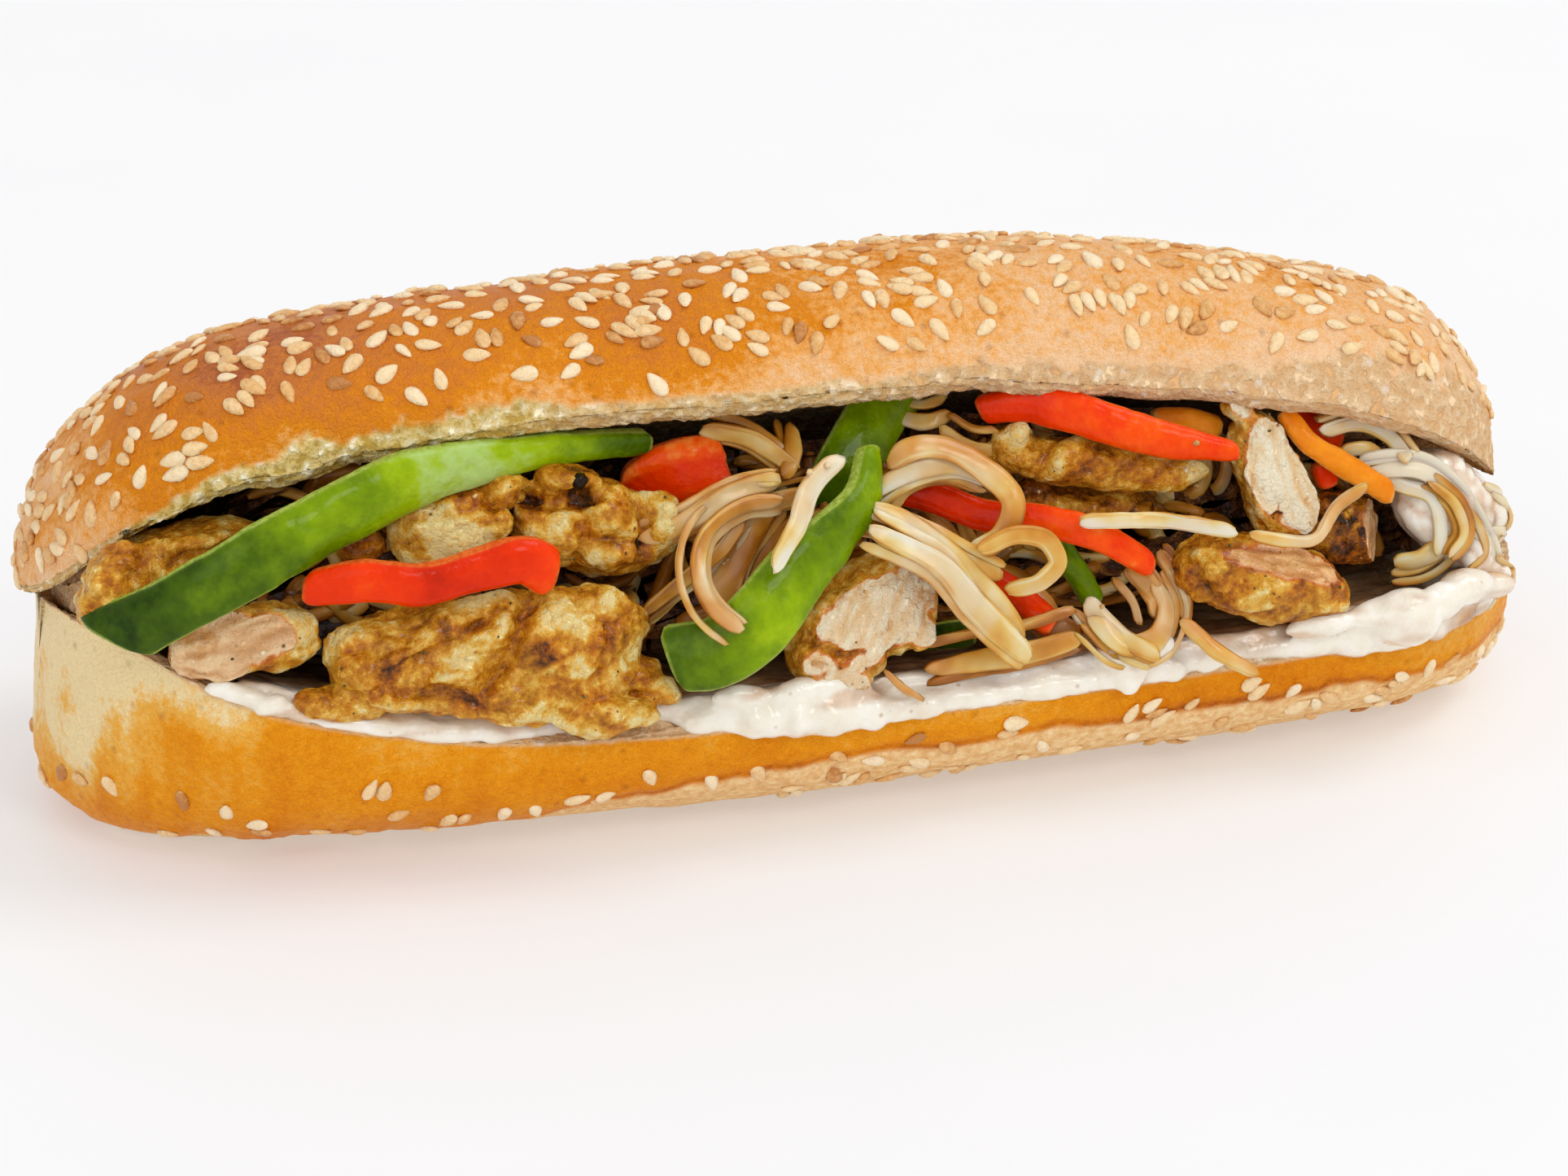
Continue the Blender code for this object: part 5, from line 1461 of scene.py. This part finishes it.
# Amber in the hollows of the folds, which is painted shade, and in random patches.
oil_and_shade_mask = 0.6 * step_between(0.05, -0.25, folds) + 0.25 * step_between(0.0, 0.5, grain(places, 5, 73))
set_mark(mass_mesh, "oil_and_shade", oil_and_shade_mask)
mass = mesh_piece(mass_mesh, creamy)
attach(mass, "root")
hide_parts("onion_end_bundle")

mass_tree = surface_tree(mass)


def on_mass(n, v):
    """Place in the mouth's frame just off the right-hand side of the spill."""
    place = first_hit([mass_tree], mouth(FAR_RIGHT, v, n), -RIGHT)
    return None if place is None else (place[0] + 0.3, v, n)


parts = []
while len(parts) < END_COUNT:
    v, n = rng.uniform(*END_SPACE[:2]), rng.uniform(*END_SPACE[2:])
    route = laid_route(n, v, rng.normal(0.0, 0.8), rng.normal(0, 0.16), 1.5, on_mass)
    if route is None:
        continue
    seed = len(parts)
    parts.append(shred(route, (rng.uniform(1.2, 2.4),) * 2, twist(seed + 60), SPILL_THICK, slant(seed + 60),
                       rng.uniform(-0.1, 0.5), seed, step=0.6, sides=12, power=0.3, facing=RIGHT))
for seed, (width, tone, route) in enumerate(END_SHREDS + companions(END_SHREDS[:-1], END_COMPANIONS, rng)):
    parts.append(shred(route, width, twist(seed + 40), SPILL_THICK, slant(seed + 40), tone - END_PALER, seed,
                       step=0.5, sides=18, power=0.3))
spill = grids_mesh("onion_spill", parts, fried_onion)
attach(spill, "root")

# ---- Peppercorn, herbs and crumbs ---------------------------------------------------------------------
# A black peppercorn and flecks of herb and spice from the frying oil stick to the chicken, and a few
# crumbs have dropped on the filling. Each lies half sunk in whatever is foremost in the mouth.

SPECK_SIDES = 7
HERBS, CRUMBS = 90, 14
SPECK_SPACE = (-88.0, 84.0, 1.0, 34.0)      # left, right, lowest and highest, in the mouth
PEPPERCORN = (-35.4, 31.2, 1.05)            # x, v and radius


def speck_shape(rng, size):
    """A small angular grain, as a few rings of points about its middle."""
    t = np.array((-0.75, 0.0, 0.75))[:, None]
    around = 2 * np.pi * np.arange(SPECK_SIDES) / SPECK_SIDES
    radius = np.sqrt(1 - t ** 2) * rng.uniform(0.7, 1.2, (3, SPECK_SIDES))
    return np.stack((np.broadcast_to(t * 1.3, radius.shape), radius * np.cos(around),
                     radius * np.sin(around)), -1) * size


def drop_specks(name, count, sizes, trees, material, seed):
    """Grains dropped on whatever is foremost in the mouth, half sunk in it."""
    rng = np.random.default_rng(seed)
    parts = []
    while len(parts) < count:
        x, v = rng.uniform(*SPECK_SPACE[:2]), rng.uniform(*SPECK_SPACE[2:])
        place = first_hit(trees, mouth(x, v, FAR_OUT), -OUTWARD)
        if place is None:
            continue
        turn = np.linalg.qr(rng.normal(size=(3, 3)))[0]
        grid = place + speck_shape(rng, rng.uniform(*sizes)) @ turn
        parts.append((grid, {"tone": np.full(grid.shape[:2], rng.uniform(0, 1))}))
    specks = grids_mesh(name, parts, material)
    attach(specks, "root")


def speck_material(name, *stops):
    """A glossy material that runs along its stops from one grain to the next."""
    material, tree, shader = food(name, 0.35, Coat_Weight=0.4, Coat_Roughness=0.1)
    grainy = place_group(tree, mottle, Size=0.4, Detail=2.0, Contrast=1.0)
    tone = maths(tree, "MULTIPLY_ADD", grainy, 0.3, mark(tree, "tone"))
    feed(tree, shader, Base_Color=ramp(tree, tone, *stops))
    raise_by(tree, shader, grainy, 0.1)
    return material


herb = speck_material("herbs and spice", (0.0, "#1E1206"), (0.35, "#3A4210"), (0.65, "#6B4A12"),
                      (1.0, "#A8641A"))
crumbs = speck_material("crumbs", (0.0, "#B97A2E"), (0.5, "#E2B56C"), (1.0, "#F4E0B8"))
made = {piece.name: piece for piece in bpy.context.scene.collection.objects}
chicken_trees = [surface_tree(piece) for name, piece in made.items() if name.startswith("chicken_")]
pepper_trees = [surface_tree(piece) for name, piece in made.items() if "_strip_" in name]
filling_trees = chicken_trees + [surface_tree(piece) for name, piece in made.items()
                                 if name.startswith(("onion_", "white_", "creamy_")) and piece != core]
drop_specks("herb_flecks", HERBS, (0.1, 0.22), chicken_trees, herb, 301)
drop_specks("bread_crumbs", CRUMBS, (0.16, 0.42), filling_trees + pepper_trees, crumbs, 302)

edit = bmesh.new()
lies_at = first_hit(filling_trees, mouth(*PEPPERCORN[:2], FAR_OUT), -OUTWARD)
add_ball(edit, lies_at - OUTWARD * 0.5, (PEPPERCORN[2],) * 3)
corn_mesh = mesh_of("peppercorn", edit)
places, normals = points_of(corn_mesh)
wrinkled = np.abs(grain(places, 0.8, 310, 2)) - 0.2
move_points(corn_mesh, places + normals * (0.35 * wrinkled)[:, None])
black_pepper, tree, shader = food("black pepper", 0.22, Specular_IOR_Level=0.2)
shader.inputs["Base Color"].default_value = colour("#1C0C04")
peppercorn = mesh_piece(corn_mesh, black_pepper)
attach(peppercorn, "root")

# ---- Floor, lights and camera -------------------------------------------------------------------------
# A plain white table that glows a little, under a large soft key from the upper right, with a wide fill
# from the left front and a smaller light from the right front.

CAMERA_AZIMUTH = -17.0     # in degrees, as the elevation, and the distance in millimetres
CAMERA_ELEVATION = 22.0
CAMERA_DISTANCE = 600.0
CAMERA_LENS = 107.9
CAMERA_AIM = (0.0, 0.0, 28.0)
AIM_RIGHT = -2.44          # how far the aim is shifted sideways and up, to frame the sandwich
AIM_UP = -7.63
TABLE_SIZE = 4.0           # in metres
TABLE_GLOW = 0.32          # light the table gives off itself, so that shadows on it stay soft


def direction(azimuth, elevation):
    """Unit vector towards a place seen at an azimuth from the front and an elevation."""
    turn, lift = math.radians(azimuth), math.radians(elevation)
    return Vector((math.sin(turn) * math.cos(lift), -math.cos(turn) * math.cos(lift), math.sin(lift)))


def aim_at(thing, place, target):
    """Put a lamp or the camera at a place, looking at a target."""
    thing.location = place
    thing.rotation_euler = (place - target).to_track_quat("Z", "Y").to_euler()


centre = Vector(roll_origin * MM)
back = direction(CAMERA_AZIMUTH, CAMERA_ELEVATION)
right = Vector((0, 0, 1)).cross(back).normalized()
up = back.cross(right)
aim = centre + (Vector(CAMERA_AIM) + right * AIM_RIGHT + up * AIM_UP) * MM
camera = bpy.data.objects.new("camera", bpy.data.cameras.new("camera"))
camera.data.lens = CAMERA_LENS
aim_at(camera, aim + back * CAMERA_DISTANCE * MM, aim)
bpy.context.scene.collection.objects.link(camera)
bpy.context.scene.camera = camera

for name, azimuth, elevation, distance, size, power in (
        ("key", 80.0, 56.0, 3.0, 1.25, 21.0), ("fill", -35.0, 28.0, 3.4, 2.2, 15.0),
        ("front", 20.0, 40.0, 3.2, 0.8, 13.0)):
    lamp = bpy.data.objects.new(name, bpy.data.lights.new(name, "AREA"))
    lamp.data.size = size
    lamp.data.energy = power
    aim_at(lamp, centre + direction(azimuth, elevation) * distance, centre)
    bpy.context.scene.collection.objects.link(lamp)

world = bpy.data.worlds.new("studio")
world.use_nodes = True
world.node_tree.nodes["Background"].inputs["Color"].default_value = colour("#FAFAFC")
world.node_tree.nodes["Background"].inputs["Strength"].default_value = 0.78
bpy.context.scene.world = world
bpy.context.scene.view_settings.view_transform = "Standard"

table_material, tree, shader = food("white table", 0.6)
cloudy = place_group(tree, mottle, Size=60.0, Detail=2.0, Contrast=0.6)
feed(tree, shader, Base_Color=ramp(tree, cloudy, (0.0, "#CACACB"), (1.0, "#CDCDCD")))
shader.inputs["Emission Color"].default_value = (1.0, 1.0, 1.0, 1.0)
shader.inputs["Emission Strength"].default_value = TABLE_GLOW
edit = bmesh.new()
bmesh.ops.create_grid(edit, x_segments=8, y_segments=8, size=TABLE_SIZE)
table_mesh = bpy.data.meshes.new("table")
edit.to_mesh(table_mesh)
edit.free()
table_mesh.materials.append(table_material)
table = bpy.data.objects.new("table", table_mesh)
table.location.z = cad_bounds[0].z - 0.0001
bpy.context.scene.collection.objects.link(table)
